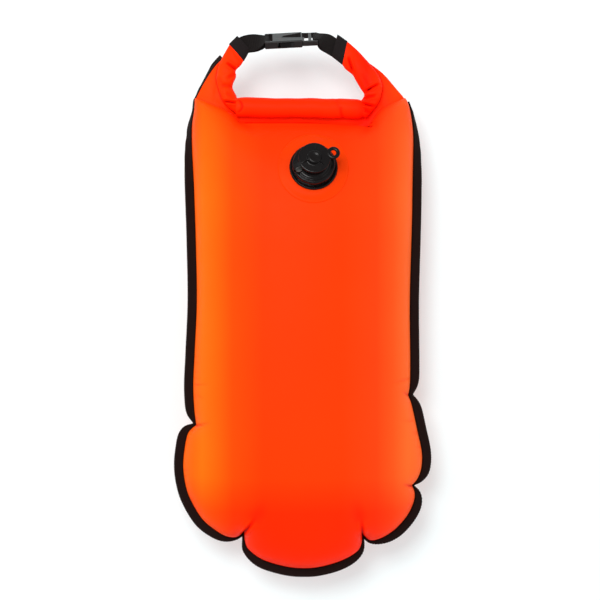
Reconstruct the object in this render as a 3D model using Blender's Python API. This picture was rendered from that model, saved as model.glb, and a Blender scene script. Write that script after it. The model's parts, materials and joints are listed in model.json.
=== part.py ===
"""Open water swim buoy: an inflatable dry bag with a rolled mouth, a buckled handle and a valve.

The bag lies on its back. X runs across it, Y up to the handle, Z up from the floor.
The origin is the middle of the flat patch that the back panel rests on.
"""
import math

import bmesh
import bpy
import numpy as np
from mathutils import Euler, Matrix, Vector
from mathutils.geometry import delaunay_2d_cdt

for old in list(bpy.data.objects):
    bpy.data.objects.remove(old, do_unlink=True)

# Air chamber
CHAMBER_WIDTH = 0.254
HALF_WIDTH = CHAMBER_WIDTH / 2
CHAMBER_LENGTH = 0.555
SHOULDER_Y = 0.244
FRONT_RISE = 0.076
REST_SINK = 0.006
SEAM_Z = FRONT_RISE - REST_SINK
PANEL_WALL = 0.001
SEAM_WIDTH = 0.0112
FOLD_SEAM = 0.0020
PINCH_REACH = 0.014
PINCH_SHARE = 0.45
GAP = 0.0003
OVERRUN = 0.002
RING_SHARES = (0.022, 0.075, 0.18)
GRID_SHARE = 0.25

# Edge binding
TAPE_WALL = 0.0010
TAPE_SETBACK = 0.0019
TAPE_SLOT = PANEL_WALL + 1.5 * GAP
TAPE_HALF = TAPE_SLOT + TAPE_WALL
WEB_TAPE_LEAN = math.radians(66)
TAPE_TURN = 6

# Inner liner between the air chamber and the dry compartment
LINER_WALL = 0.0008
LINER_MARGIN = 0.008
LINER_RISE = 0.020

# Rolled mouth
ROLL_Y = 0.2295
ROLL_RADIUS = 0.0125
ROLL_SHEET = 0.0016
ROLL_TURNS = 2.6
ROLL_PITCH = 0.0021
STIFFENER_WIDTH = 0.0122
STIFFENER_THICK = 0.0016
STIFFENER_SHIFT = -0.0006

# Handle arms, corner webs, end bands and webbing
LEFT_PIVOT_X = -0.088
LEFT_PIVOT_Y = 0.2375
ARM_ROOT = 0.0098
ARM_SPREAD = 0.1642
ARM_END_HALF = 0.0147
ARM_END_THICK = 0.0100
ARM_CLEARANCE = 0.0006
ARM_TUCK = 0.0052
ARM_STEP = 0.009
ARM_SIDES = 14
LEFT_END_TURN = math.radians(45.4)
RIGHT_END_TURN = math.radians(151.9)
BAND_LENGTH = 0.0125
BAND_WALL = 0.0012
WEB_WALL = 0.0022
WEB_INSET = 0.0020
WEB_STEPS = 12
WEB_ACROSS = 8
WEBBING_WIDTH = 0.025
WEBBING_THICK = 0.0012
WEBBING_STEPS = 13
WEBBING_ACROSS = 6
PLY_GAP = 0.0009
BAR_LEAD = 0.0025
BAR_BEND = 0.9
BAND_BEND = 1.3

# Side release buckle
BUCKLE_WIDTH = 0.032
BUCKLE_THICK = 0.009
BUCKLE_TILT = math.radians(3.0)
BUCKLE_LEAN = math.radians(63.0)
BUCKLE_X = -0.0442
BUCKLE_Y = 0.3079
FEMALE_LENGTH = 0.044
FEMALE_WALL = 0.0016
BAR_WIDTH = 0.0040
BAR_THICK = 0.0036
SLOT_WIDTH = 0.0052
SOCKET_START = 0.0120
MALE_LENGTH = 0.0178
MALE_THICK = 0.0064
RAIL_WIDTH = 0.0050
RAIL_THICK = 0.0040
PRONG_LENGTH = 0.0285
PRONG_WIDTH = 0.0034
PAD_LENGTH = 0.0180
PAD_PROUD = 0.0012
BUCKLE_EDGE = 0.0012
WINDOW_START = 0.0200
WINDOW_HALF = 0.0040
PRONG_INNER = 0.0089
REAR_SLOT = 0.0034
FRONT_SLOT = 0.0052
FIT = 0.0004

# Inflation valve
VALVE_X = 0.0125
VALVE_Y = 0.1560
FLANGE_RADIUS = 0.0277
FLANGE_THICK = 0.0026
PATCH_RADIUS = 0.0410
PATCH_WALL = 0.0006
PATCH_SIDES = 20
PATCH_MARGIN = 0.003
NECK_RADIUS = 0.0185
NECK_BORE = 0.0160
NECK_DEPTH = 0.0130
SKIRT_RADIUS = 0.0242
SKIRT_WALL = 0.0032
SKIRT_HEIGHT = 0.0105
GRIPS = 8
GRIP_DEPTH = 0.0006
CROWN_FOOT = 0.0148
CROWN_FLARE = 0.0012
CROWN_HEIGHT = 0.0255
AIR_BORE = 0.0095
GASKET_WALL = 0.0016
CAP_RADIUS = 0.0172
CAP_THICK = 0.0022
CAP_BOSS_RADIUS = 0.0080
CAP_BOSS_HEIGHT = 0.0030
PLUG_DEPTH = 0.0030
RIB_WIDTH = 0.0014
LOOP_RADIUS = 0.0045
LOOP_WIRE = 0.0016
KNOB_RADIUS = 0.0036
HINGE_TURN = math.radians(24.0)
HINGE_MARGIN = 0.0013
PEG_OUT = 0.0192
STRAP_WIDTH = 0.0050
STRAP_THICK = 0.0012
FLAP_RADIUS = 0.0128
FLAP_WALL = 0.0010
FLAP_TRAVEL = 0.0020
STEM_RADIUS = 0.0016
VALVE_SIDES = 32

# Heights that follow from the sizes above
HANDLE_Z = SEAM_Z + WEB_WALL / 2 + ARM_CLEARANCE + ARM_ROOT
PATCH_LOW = PANEL_WALL + GAP
FLANGE_LOW = PATCH_LOW + PATCH_WALL + GAP
FLANGE_TOP = FLANGE_LOW + FLANGE_THICK
COLLAR_TOP = FLANGE_TOP + 0.8 * FLANGE_THICK
GASKET_LOW = COLLAR_TOP + GAP
GASKET_TOP = GASKET_LOW + GASKET_WALL
LID_LOW = GASKET_TOP + GAP
SHOULDER_TOP = FLANGE_TOP + SKIRT_HEIGHT
CROWN_TOP = FLANGE_TOP + CROWN_HEIGHT
SEAT_LOW = FLANGE_LOW - NECK_DEPTH * 0.75
CAP_LOW = CROWN_TOP + GAP
CAP_TOP = CAP_LOW + CAP_THICK

# Places on the handle and the valve that follow from the sizes above
LEFT_PIVOT = (LEFT_PIVOT_X, LEFT_PIVOT_Y, HANDLE_Z)
RIGHT_PIVOT = (LEFT_PIVOT_X + ARM_SPREAD * math.cos(BUCKLE_TILT),
               LEFT_PIVOT_Y + ARM_SPREAD * math.sin(BUCKLE_TILT), HANDLE_Z)
LEFT_END_AIM = np.array((math.cos(LEFT_END_TURN), math.sin(LEFT_END_TURN), 0.0))
RIGHT_END_AIM = np.array((math.cos(RIGHT_END_TURN), math.sin(RIGHT_END_TURN), 0.0))
ROLL_LEFT = LEFT_PIVOT[0] + ARM_ROOT + GAP
ROLL_RIGHT = RIGHT_PIVOT[0] - ARM_ROOT - GAP
ROLL_STATIONS = 7
BUCKLE_TURN = Euler((-BUCKLE_LEAN, 0, BUCKLE_TILT), "XYZ").to_matrix()
BUCKLE_ORIGIN = np.array((BUCKLE_X, BUCKLE_Y, HANDLE_Z))
ALONG = np.array(BUCKLE_TURN @ Vector((1, 0, 0)))
WIDE = np.array(BUCKLE_TURN @ Vector((0, 1, 0)))
FEMALE_BAR = BAR_WIDTH / 2
MALE_START = FEMALE_LENGTH + GAP
MALE_BAR = MALE_START + MALE_LENGTH - BAR_WIDTH / 2
PRONG_THICK = BUCKLE_THICK - 2 * FEMALE_WALL - 2 * FIT
PRONG_ROOT = MALE_START - GAP
LOOP_ARC = math.hypot(BAR_WIDTH, BAR_THICK) / 2 + GAP + WEBBING_THICK / 2
PLY_OFFSET = WEBBING_THICK / 2 + PLY_GAP / 2
HINGE_OUT = CAP_RADIUS + HINGE_MARGIN
HINGE_SIDE = HINGE_TURN + math.pi

# Weld line: runs of points between its corners, clockwise from the right shoulder.
# Each point is x as a share of half the width and y as a share of the length below the shoulder.
WELD_RUN_SHARES = [
    [(0.953, 0.002), (0.990, 0.021), (1.020, 0.070), (1.022, 0.133), (1.015, 0.261), (0.995, 0.431),
     (0.999, 0.558), (0.995, 0.611), (0.980, 0.633)],
    [(0.980, 0.633), (1.013, 0.654), (1.064, 0.707), (1.106, 0.754), (1.101, 0.788), (1.064, 0.811),
     (1.013, 0.824)],
    [(1.013, 0.824), (1.041, 0.841), (1.027, 0.862), (0.971, 0.888), (0.869, 0.915), (0.748, 0.934),
     (0.627, 0.941), (0.553, 0.926)],
    [(0.553, 0.926), (0.544, 0.951), (0.488, 0.968), (0.348, 0.985), (0.163, 0.997), (0.005, 1.000),
     (-0.163, 0.996), (-0.367, 0.982), (-0.493, 0.962), (-0.530, 0.947), (-0.543, 0.922)],
    [(-0.543, 0.922), (-0.609, 0.934), (-0.711, 0.932), (-0.822, 0.917), (-0.925, 0.897),
     (-1.008, 0.868), (-1.073, 0.834), (-1.106, 0.788), (-1.092, 0.745), (-1.059, 0.713),
     (-0.985, 0.696)],
    [(-0.985, 0.696), (-1.003, 0.664), (-1.013, 0.611), (-0.999, 0.537), (-0.980, 0.431),
     (-0.990, 0.303), (-1.008, 0.176), (-1.022, 0.070), (-1.003, 0.027), (-0.999, 0.002)],
    [(-0.999, 0.002), (-0.841, 0.016), (-0.670, 0.033), (-0.575, 0.054)],
    [(-0.575, 0.054), (-0.023, 0.053), (0.609, 0.062)],
    [(0.609, 0.062), (0.700, 0.034), (0.776, 0.020), (0.953, 0.002)],
]
# Spacing of points on each run, as shares of half the width
RUN_STEP_SHARES = [0.19, 0.075, 0.08, 0.09, 0.085, 0.19, 0.16, 0.17, 0.16]
FIRST_TAPED_RUN = 0
LAST_TAPED_RUN = 5

# Places on the flat corner webs and along the arms, shared out in the same way
WEB_EDGE_SHARES = {"left": [(-0.999, 0.002), (-0.934, -0.022), (-0.840, -0.055), (-0.762, -0.080)],
                   "right": [(0.953, 0.002), (0.868, -0.020), (0.776, -0.041), (0.690, -0.062)]}
WEB_ROOT_SHARES = {"left": [(-0.655, 0.026), (-0.668, -0.010), (-0.690, -0.045), (-0.705, -0.073)],
                   "right": [(0.690, 0.026), (0.655, -0.006), (0.630, -0.030), (0.612, -0.052)]}
LEFT_ROUTE_SHARES = [(-0.7047, -0.0036), (-0.7126, -0.0252), (-0.6969, -0.0505), (-0.6614, -0.0730)]
RIGHT_ROUTE_SHARES = [(0.6260, -0.0153), (0.6102, -0.0378), (0.5551, -0.0595), (0.4764, -0.0784)]
LEFT_END_SHARE = (-0.6118, -0.0915)
RIGHT_END_SHARE = (0.3874, -0.0905)


def make_material(name, color, roughness, metallic=0.0):
    """A plain Principled material for one piece."""
    material = bpy.data.materials.new(name)
    material.use_nodes = True
    shader = material.node_tree.nodes["Principled BSDF"]
    shader.inputs["Base Color"].default_value = (*color, 1.0)
    shader.inputs["Roughness"].default_value = roughness
    shader.inputs["Metallic"].default_value = metallic
    material.diffuse_color = (*color, 1.0)
    return material


ORANGE = (1.0, 0.10, 0.01)
BLACK = (0.02, 0.017, 0.016)
SMOKE = (0.08, 0.08, 0.085)
FILM = (0.75, 0.72, 0.70)


def make_object(name, vertices, faces, color, roughness, pivot=(0.0, 0.0, 0.0), parent=None, sheet=False):
    """A named mesh object with its origin at the pivot, in its parent's coordinates.

    The faces of a closed solid are turned outwards; those of a sheet keep the side they are given.
    """
    origin = np.array(pivot, float)
    mesh = bpy.data.meshes.new(name)
    mesh.from_pydata([tuple(np.array(v, float) - origin) for v in vertices], [], faces)
    mesh.validate()
    made = bpy.data.objects.new(name, mesh)
    made.location = pivot
    made.parent = parent
    bpy.context.collection.objects.link(made)
    mesh.materials.append(make_material(name, color, roughness))
    if not sheet:
        shape = bmesh.new()
        shape.from_mesh(mesh)
        bmesh.ops.recalc_face_normals(shape, faces=shape.faces)
        shape.to_mesh(mesh)
        shape.free()
    mesh.shade_smooth()
    mesh.set_sharp_from_angle(angle=math.radians(40))
    return made


def hide_cutter(cutter):
    """Marks an object as a cutter, which the build leaves out."""
    cutter.hide_render = True
    cutter.display_type = "WIRE"
    return cutter


def cut(target, cutter, operation="DIFFERENCE"):
    """A live Boolean of the cutter on the target."""
    modifier = target.modifiers.new(cutter.name, "BOOLEAN")
    modifier.operation = operation
    modifier.object = cutter
    modifier.solver = "EXACT"


def loft(rings, closed=False):
    """Vertices and faces of a skin over equal rings of points, capped unless it closes on itself."""
    rings = [np.array(ring, float) for ring in rings]
    count = len(rings[0])
    vertices = [tuple(p) for ring in rings for p in ring]
    faces = []
    spans = len(rings) if closed else len(rings) - 1
    for i in range(spans):
        a = i * count
        b = ((i + 1) % len(rings)) * count
        for j in range(count):
            k = (j + 1) % count
            faces.append((a + j, a + k, b + k, b + j))
    if not closed:
        faces.append(tuple(range(count))[::-1])
        faces.append(tuple(range((len(rings) - 1) * count, len(rings) * count)))
    return vertices, faces


def turn_profile(profile, segments):
    """Vertices and faces of a closed (radius, height) profile turned about Z."""
    rings = []
    for i in range(segments):
        angle = 2 * math.pi * i / segments
        rings.append([(r * math.cos(angle), r * math.sin(angle), z) for r, z in profile])
    return loft(rings, closed=True)


def turn_solid(profile, segments):
    """A turned solid whose profile starts and ends on the axis, as stacked rings and two flat ends."""
    rings = []
    for r, z in profile:
        rings.append([(r * math.cos(2 * math.pi * i / segments), r * math.sin(2 * math.pi * i / segments), z)
                      for i in range(segments)])
    return loft(rings)


def box_corners(low, high):
    """Vertices and faces of a box between two corners."""
    x0, y0, z0 = low
    x1, y1, z1 = high
    rings = [[(x0, y0, z), (x1, y0, z), (x1, y1, z), (x0, y1, z)] for z in (z0, z1)]
    return loft(rings)


def smooth_curve(points, step):
    """Points about one step apart on a Catmull-Rom curve through the given points."""
    given = np.array(points, float)
    first = 2 * given[0] - given[1]
    last = 2 * given[-1] - given[-2]
    padded = np.vstack([first, given, last])
    out = [given[0]]
    for i in range(len(given) - 1):
        p0, p1, p2, p3 = padded[i:i + 4]
        pieces = max(1, round(float(np.linalg.norm(p2 - p1)) / step))
        for k in range(1, pieces + 1):
            t = k / pieces
            out.append(0.5 * (2 * p1 + (p2 - p0) * t + (2 * p0 - 5 * p1 + 4 * p2 - p3) * t ** 2
                              + (3 * p1 - p0 - 3 * p2 + p3) * t ** 3))
    return np.array(out)


def chamber_place(share):
    """X and Y of a place given as shares of half the width and of the length below the shoulder."""
    return share[0] * HALF_WIDTH, SHOULDER_Y - share[1] * CHAMBER_LENGTH


def weld_points():
    """The weld line as points in X and Y, and the run that each point is on."""
    points = []
    runs = []
    for number, shares in enumerate(WELD_RUN_SHARES):
        places = [chamber_place(share) for share in shares]
        curve = smooth_curve(places, RUN_STEP_SHARES[number] * HALF_WIDTH)[:-1]
        points.extend(curve)
        runs.extend([number] * len(curve))
    return np.array(points), np.array(runs)


def outward_normals(points, rounds):
    """Unit normals that point out of a clockwise loop, averaged over their neighbours."""
    ahead = np.roll(points, -1, axis=0) - np.roll(points, 1, axis=0)
    normals = np.column_stack([-ahead[:, 1], ahead[:, 0]])
    normals /= np.linalg.norm(normals, axis=1)[:, None]
    for _ in range(rounds):
        normals = normals + np.roll(normals, 1, axis=0) + np.roll(normals, -1, axis=0)
        normals /= np.linalg.norm(normals, axis=1)[:, None]
    return normals


WELD, WELD_RUNS = weld_points()
NOTCHES = np.array([WELD[np.argmax(WELD_RUNS == number)]
                    for number in range(FIRST_TAPED_RUN + 1, LAST_TAPED_RUN + 1)])


def pinch_share():
    """Share of the seam's full width that is left at each weld point, least at the notches."""
    nearest = np.min(np.linalg.norm(WELD[:, None] - NOTCHES[None], axis=2), axis=1)
    return 1 - PINCH_SHARE * np.exp(-(nearest / PINCH_REACH) ** 2)


def seam_loop():
    """The outer edge of the flat seam: wide under the tape, narrow where the wall runs on into the roll."""
    taped = (WELD_RUNS >= FIRST_TAPED_RUN) & (WELD_RUNS <= LAST_TAPED_RUN)
    width = np.where(taped, SEAM_WIDTH * pinch_share() - TAPE_WALL - GAP, FOLD_SEAM)
    return WELD + outward_normals(WELD, 1) * width[:, None]


def edge_weight(points):
    """Sum over the weld line of each edge's mean value weight seen from each point."""
    start = WELD[None] - points[:, None]
    end = np.roll(WELD, -1, axis=0)[None] - points[:, None]
    reach_a = np.linalg.norm(start, axis=2)
    reach_b = np.linalg.norm(end, axis=2)
    cross = end[..., 0] * start[..., 1] - end[..., 1] * start[..., 0]
    dot = np.sum(start * end, axis=2)
    half_angle = np.arctan2(cross, dot) / 2
    return np.sum((1 / reach_a + 1 / reach_b) * np.tan(half_angle), axis=1)


def pillow_lift(points):
    """How far an inflated wall stands off the seam plane: its square follows the mean value weight.

    On a long strip the section is a half ellipse as high as the bag's rise.
    """
    points = np.atleast_2d(np.array(points, float))
    weight = np.maximum(edge_weight(points), 1e-9)
    return FRONT_RISE * np.sqrt(4 / (weight * HALF_WIDTH))


def weld_distance(points):
    """Distance of each point from the nearest edge of the weld line."""
    a = WELD[None]
    span = np.roll(WELD, -1, axis=0)[None] - a
    along = np.sum((points[:, None] - a) * span, axis=2) / np.sum(span ** 2, axis=2)
    foot = a + span * np.clip(along, 0, 1)[..., None]
    return np.min(np.linalg.norm(points[:, None] - foot, axis=2), axis=1)


def inner_points():
    """Points inside the weld line: rings near it, where the wall is steep, and a grid in the middle."""
    kept = []
    inward = -outward_normals(WELD, 2)
    for number, share in enumerate(RING_SHARES):
        depth = share * HALF_WIDTH
        every = 1 if number == 0 else 2
        ring = WELD[::every] + inward[::every] * depth
        inside = (edge_weight(ring) > 0) & (weld_distance(ring) > 0.7 * depth)
        kept.append(ring[inside])
    step = GRID_SHARE * HALF_WIDTH
    rows = np.arange(SHOULDER_Y - CHAMBER_LENGTH, SHOULDER_Y, step * math.sqrt(3) / 2)
    columns = math.ceil(1.2 / GRID_SHARE)
    grid = np.array([((i + 0.5 * (j % 2)) * step, y)
                     for j, y in enumerate(rows) for i in range(-columns, columns + 1)])
    inside = (edge_weight(grid) > 0) & (weld_distance(grid) > (RING_SHARES[-1] + 0.1) * HALF_WIDTH)
    kept.append(grid[inside])
    kept = np.vstack(kept)
    away = np.linalg.norm(kept - np.array((VALVE_X, VALVE_Y)), axis=1)
    circles = [circle_points(radius, PATCH_SIDES) for radius in patch_radii()]
    return np.vstack([kept[away > PATCH_RADIUS + PATCH_MARGIN], *circles])


def patch_radii():
    """Radii of the rings of points that the front wall and the valve's patch share."""
    return FLANGE_RADIUS, (FLANGE_RADIUS + PATCH_RADIUS) / 2, PATCH_RADIUS


def circle_points(radius, count):
    """Points of a circle round the valve, in X and Y."""
    around = np.linspace(0, 2 * math.pi, count, endpoint=False)
    return np.column_stack([VALVE_X + radius * np.cos(around), VALVE_Y + radius * np.sin(around)])


def wall_sheet(side):
    """Vertices and triangles of one wall, its flat seam flange included; side is 1 in front, -1 behind."""
    flat = np.vstack([seam_loop(), WELD, inner_points()])
    edges = []
    starts = [0, len(WELD)] + [len(flat) - PATCH_SIDES * (k + 1) for k in range(len(patch_radii()))]
    for number, start in enumerate(starts):
        count = len(WELD) if number < 2 else PATCH_SIDES
        edges += [(start + i, start + (i + 1) % count) for i in range(count)]
    result = delaunay_2d_cdt([Vector(p) for p in flat], edges, [], 1, 1e-6)
    plane = np.array([tuple(v) for v in result[0]])
    triangles = result[2]
    lift = np.zeros(len(plane))
    chamber = edge_weight(plane + 1e-9) > 1e-6
    chamber &= weld_distance(plane) > 1e-5
    lift[chamber] = front_skin(plane[chamber]) if side > 0 else pillow_lift(plane[chamber])
    height = SEAM_Z + side * (GAP / 2 + lift)
    if side < 0:
        height = np.maximum(height, PANEL_WALL)
    return np.column_stack([plane, height]), triangles


def make_panel(name, side):
    """One wall of the air chamber as a thin shell, its outer face away from the chamber."""
    vertices, triangles = wall_sheet(side)
    turned = [t if side > 0 else t[::-1] for t in triangles]
    panel = make_object(name, vertices, turned, ORANGE, 0.5, sheet=True)
    thickness = panel.modifiers.new("wall", "SOLIDIFY")
    thickness.thickness = PANEL_WALL
    thickness.offset = 1
    thickness.use_even_offset = False
    return panel


def unit(vector):
    """A vector cut to length one."""
    vector = np.array(vector, float)
    return vector / np.linalg.norm(vector)


def path_tangents(path):
    """Unit tangents along a path of points."""
    steps = np.gradient(np.array(path, float), axis=0)
    return steps / np.linalg.norm(steps, axis=1)[:, None]


def share_curve(shares, steps):
    """Equal steps along a smooth curve through places given as shares of the chamber."""
    curve = smooth_curve([chamber_place(share) for share in shares], HALF_WIDTH / 50)
    reach = np.concatenate([[0], np.cumsum(np.linalg.norm(np.diff(curve, axis=0), axis=1))])
    wanted = np.linspace(0, reach[-1], steps + 1)
    return np.column_stack([np.interp(wanted, reach, curve[:, 0]), np.interp(wanted, reach, curve[:, 1])])


def make_binding():
    """One folded tape round the seam, from the right shoulder round the lobes and up the left web."""
    normals = outward_normals(WELD, 1)
    taped = np.flatnonzero((WELD_RUNS >= FIRST_TAPED_RUN) & (WELD_RUNS <= LAST_TAPED_RUN))
    width = SEAM_WIDTH * pinch_share()
    feet = [WELD[i] for i in taped[1:]]
    outs = [normals[i] for i in taped[1:]]
    widths = [width[i] for i in taped[1:]]
    leans = [0.0] * len(feet)
    edge = share_curve(WEB_EDGE_SHARES["left"], WEB_STEPS)
    tangents = path_tangents(edge)
    for k in range(WEB_STEPS + 1):
        feet.append(edge[k])
        outs.append(np.array([-tangents[k][1], tangents[k][0]]))
        widths.append(SEAM_WIDTH)
        leans.append(WEB_TAPE_LEAN * min(1.0, k / TAPE_TURN))
    rings = []
    for foot, out, reach, lean in zip(feet, outs, widths, leans):
        section = [(TAPE_SETBACK, TAPE_HALF), (reach, TAPE_HALF), (reach, -TAPE_HALF), (TAPE_SETBACK, -TAPE_HALF),
                   (TAPE_SETBACK, -TAPE_SLOT), (reach - TAPE_WALL, -TAPE_SLOT), (reach - TAPE_WALL, TAPE_SLOT),
                   (TAPE_SETBACK, TAPE_SLOT)]
        ring = []
        for u, v in section:
            out_part = u * math.cos(lean) + v * math.sin(lean)
            up_part = v * math.cos(lean) - u * math.sin(lean)
            ring.append((foot[0] + out[0] * out_part, foot[1] + out[1] * out_part, SEAM_Z + up_part))
        rings.append(ring)
    return make_object("edge_binding", *loft(rings), BLACK, 0.85)


def make_web(side):
    """The flat corner of the bag that is drawn up beside the arm."""
    edge = share_curve(WEB_EDGE_SHARES[side], WEB_STEPS)
    root = share_curve(WEB_ROOT_SHARES[side], WEB_STEPS)
    sign = -1 if side == "left" else 1
    tangents = path_tangents(edge)
    rings = []
    for k in range(WEB_STEPS + 1):
        out = sign * np.array([tangents[k][1], -tangents[k][0]])
        outer = edge[k] - out * WEB_INSET
        row = [outer + (root[k] - outer) * t for t in np.linspace(0, 1, WEB_ACROSS)]
        if k == 0:
            row = [(x, fold_y(x)) for x, _ in row]
        row = [(x, max(y, fold_y(x) + (3 + k) * GAP)) for x, y in row]
        low = SEAM_Z - WEB_WALL / 2
        high = SEAM_Z + WEB_WALL / 2
        rings.append([(x, y, low) for x, y in row] + [(x, y, high) for x, y in row[::-1]])
    return make_object(side + "_corner_web", *loft(rings), ORANGE, 0.5)


def fold_y(x):
    """Where the chamber's top seam ends, seen at one place across the bag."""
    loop = seam_loop()
    top = np.vstack([loop[WELD_RUNS > LAST_TAPED_RUN], loop[0]])
    order = np.argsort(top[:, 0])
    return float(np.interp(x, top[order, 0], top[order, 1]))


def make_roll():
    """The mouth's sheet rolled into a spiral, its tail running down to the top of the chamber."""
    turns = ROLL_TURNS * 2 * math.pi
    steps = round(ROLL_TURNS * 14)
    outer = []
    inner = []
    for k in range(steps + 1):
        swept = turns * k / steps
        angle = swept - math.pi / 2
        radius = ROLL_RADIUS - ROLL_PITCH * swept / (2 * math.pi)
        outer.append((ROLL_Y + radius * math.cos(angle), HANDLE_Z + radius * math.sin(angle)))
        thin = radius - ROLL_SHEET
        inner.append((ROLL_Y + thin * math.cos(angle), HANDLE_Z + thin * math.sin(angle)))
    low = HANDLE_Z - ROLL_RADIUS
    rings = []
    for x in np.linspace(ROLL_LEFT, ROLL_RIGHT, ROLL_STATIONS):
        tail = fold_y(x) + GAP
        outline = [(tail, low), *outer, *inner[::-1], (tail, low + ROLL_SHEET)]
        rings.append([(x, y, z) for y, z in outline])
    return make_object("roll_collar", *loft(rings), ORANGE, 0.5)


def make_stiffener():
    """The flat plastic strip in the core of the roll."""
    middle = ROLL_Y + STIFFENER_SHIFT
    low = (ROLL_LEFT + OVERRUN, middle - STIFFENER_WIDTH / 2, HANDLE_Z - STIFFENER_THICK / 2)
    high = (ROLL_RIGHT - OVERRUN, middle + STIFFENER_WIDTH / 2, HANDLE_Z + STIFFENER_THICK / 2)
    return make_object("mouth_stiffener", *box_corners(low, high), FILM, 0.4)


def largest_patch(triangles):
    """The largest set of triangles that are joined to each other along their edges."""
    by_edge = {}
    for number, corners in enumerate(triangles):
        for a, b in zip(corners, (*corners[1:], corners[0])):
            by_edge.setdefault((min(a, b), max(a, b)), []).append(number)
    patch = list(range(len(triangles)))
    changed = True
    while changed:
        changed = False
        for members in by_edge.values():
            low = min(patch[m] for m in members)
            changed = changed or any(patch[m] != low for m in members)
            for m in members:
                patch[m] = low
    largest = max(set(patch), key=patch.count)
    return [corners for corners, label in zip(triangles, patch) if label == largest]


def make_liner():
    """The film wall between the two compartments: its rim lies on the back wall, its middle stands off it."""
    vertices, triangles = wall_sheet(-1)
    depth = weld_distance(vertices[:, :2])
    inside = (edge_weight(vertices[:, :2] + 1e-9) > 1e-6) & (depth > LINER_MARGIN)
    triangles = np.array(largest_patch([t for t in triangles if inside[list(t)].all()]))
    corners = vertices[triangles]
    facing = np.cross(corners[:, 1] - corners[:, 0], corners[:, 2] - corners[:, 0])
    normals = np.zeros_like(vertices)
    for corner in range(3):
        np.add.at(normals, triangles[:, corner], facing)
    used = np.unique(triangles)
    lengths = np.linalg.norm(normals[used], axis=1)[:, None]
    t = np.clip((depth[used] - LINER_MARGIN) / (HALF_WIDTH - LINER_MARGIN), 0, 1)
    places = vertices[used] + normals[used] / lengths * (LINER_WALL / 2 + 2 * GAP)
    places[:, 2] += LINER_RISE * t * t * (3 - 2 * t)
    faces = np.searchsorted(used, triangles).tolist()
    liner = make_object("inner_liner", places, faces, FILM, 0.4, sheet=True)
    thickness = liner.modifiers.new("film", "SOLIDIFY")
    thickness.thickness = LINER_WALL
    thickness.offset = 0
    return liner


def across_of(direction):
    """The level direction square to a level direction, turned a quarter to the left."""
    return np.array([-direction[1], direction[0], 0.0])


def oval_ring(centre, across, half_width, half_thick, count, squareness=2.4):
    """A ring of points of a rounded oval that stands across a path."""
    ring = []
    for k in range(count):
        angle = 2 * math.pi * (k + 0.5) / count
        c = math.cos(angle)
        s = math.sin(angle)
        u = math.copysign(abs(c) ** (2 / squareness), c) * half_width
        v = math.copysign(abs(s) ** (2 / squareness), s) * half_thick
        ring.append(tuple(np.array(centre) + np.array(across) * u + np.array([0, 0, v])))
    return ring


def make_arm(name, pivot, route, end, aim):
    """One end of the roll drawn up to the buckle: round at its pivot, flattened where the band holds it."""
    start = np.array(pivot)
    points = [start] + [np.array((*chamber_place(share), HANDLE_Z)) for share in [*route, end]]
    path = smooth_curve(points, ARM_STEP)
    tangents = path_tangents(path)
    tangents[-1] = aim
    rings = []
    for share in (0.97, 0.75, 0.40):
        rings.append(oval_ring(start - tangents[0] * ARM_ROOT * share, across_of(tangents[0]),
                               ARM_ROOT * math.sqrt(1 - share ** 2), ARM_ROOT * math.sqrt(1 - share ** 2),
                               ARM_SIDES, 2.0))
    reach = np.linspace(0, 1, len(path))
    for place, tangent, t in zip(path, tangents, reach):
        width = ARM_ROOT + (ARM_END_HALF - ARM_ROOT) * t
        thick = ARM_ROOT + (ARM_END_THICK / 2 - ARM_ROOT) * t
        rings.append(oval_ring(place, across_of(tangent), width, thick, ARM_SIDES))
    neck_width = ARM_END_HALF - BAND_WALL - GAP
    neck_thick = ARM_END_THICK / 2 - BAND_WALL - GAP
    for step in (GAP, ARM_TUCK):
        rings.append(oval_ring(path[-1] + aim * step, across_of(aim), neck_width, neck_thick, ARM_SIDES))
    return make_object(name, *loft(rings), ORANGE, 0.5, pivot=pivot)


def make_band(name, pivot, end, aim):
    """The tape sewn round the end of an arm: a flat sleeve that the webbing comes out of."""
    base = np.array((*chamber_place(end), HANDLE_Z))
    rings = []
    near = 2 * GAP
    for step, inset in ((near, 0.0), (BAND_LENGTH, 0.0), (BAND_LENGTH, BAND_WALL), (near, BAND_WALL)):
        rings.append(oval_ring(base + aim * step, across_of(aim), ARM_END_HALF - inset,
                               ARM_END_THICK / 2 - inset, ARM_SIDES * 2))
    return make_object(name, *loft(rings, closed=True), BLACK, 0.85, pivot=pivot)


def ribbon_route(length):
    """The route of a webbing strip round a bar, as (distance from the bar, height) pairs out and back."""
    far = np.linspace(length, LOOP_ARC * 2.6, WEBBING_STEPS)
    upper = [(a, PLY_OFFSET) for a in far] + [(LOOP_ARC * 1.5, LOOP_ARC * 0.58)]
    arc = [(LOOP_ARC * math.cos(t), LOOP_ARC * math.sin(t)) for t in np.radians(np.linspace(55, 180, 6))]
    half = upper + arc
    return half + [(a, -b) for a, b in half[-2::-1]]


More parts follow.
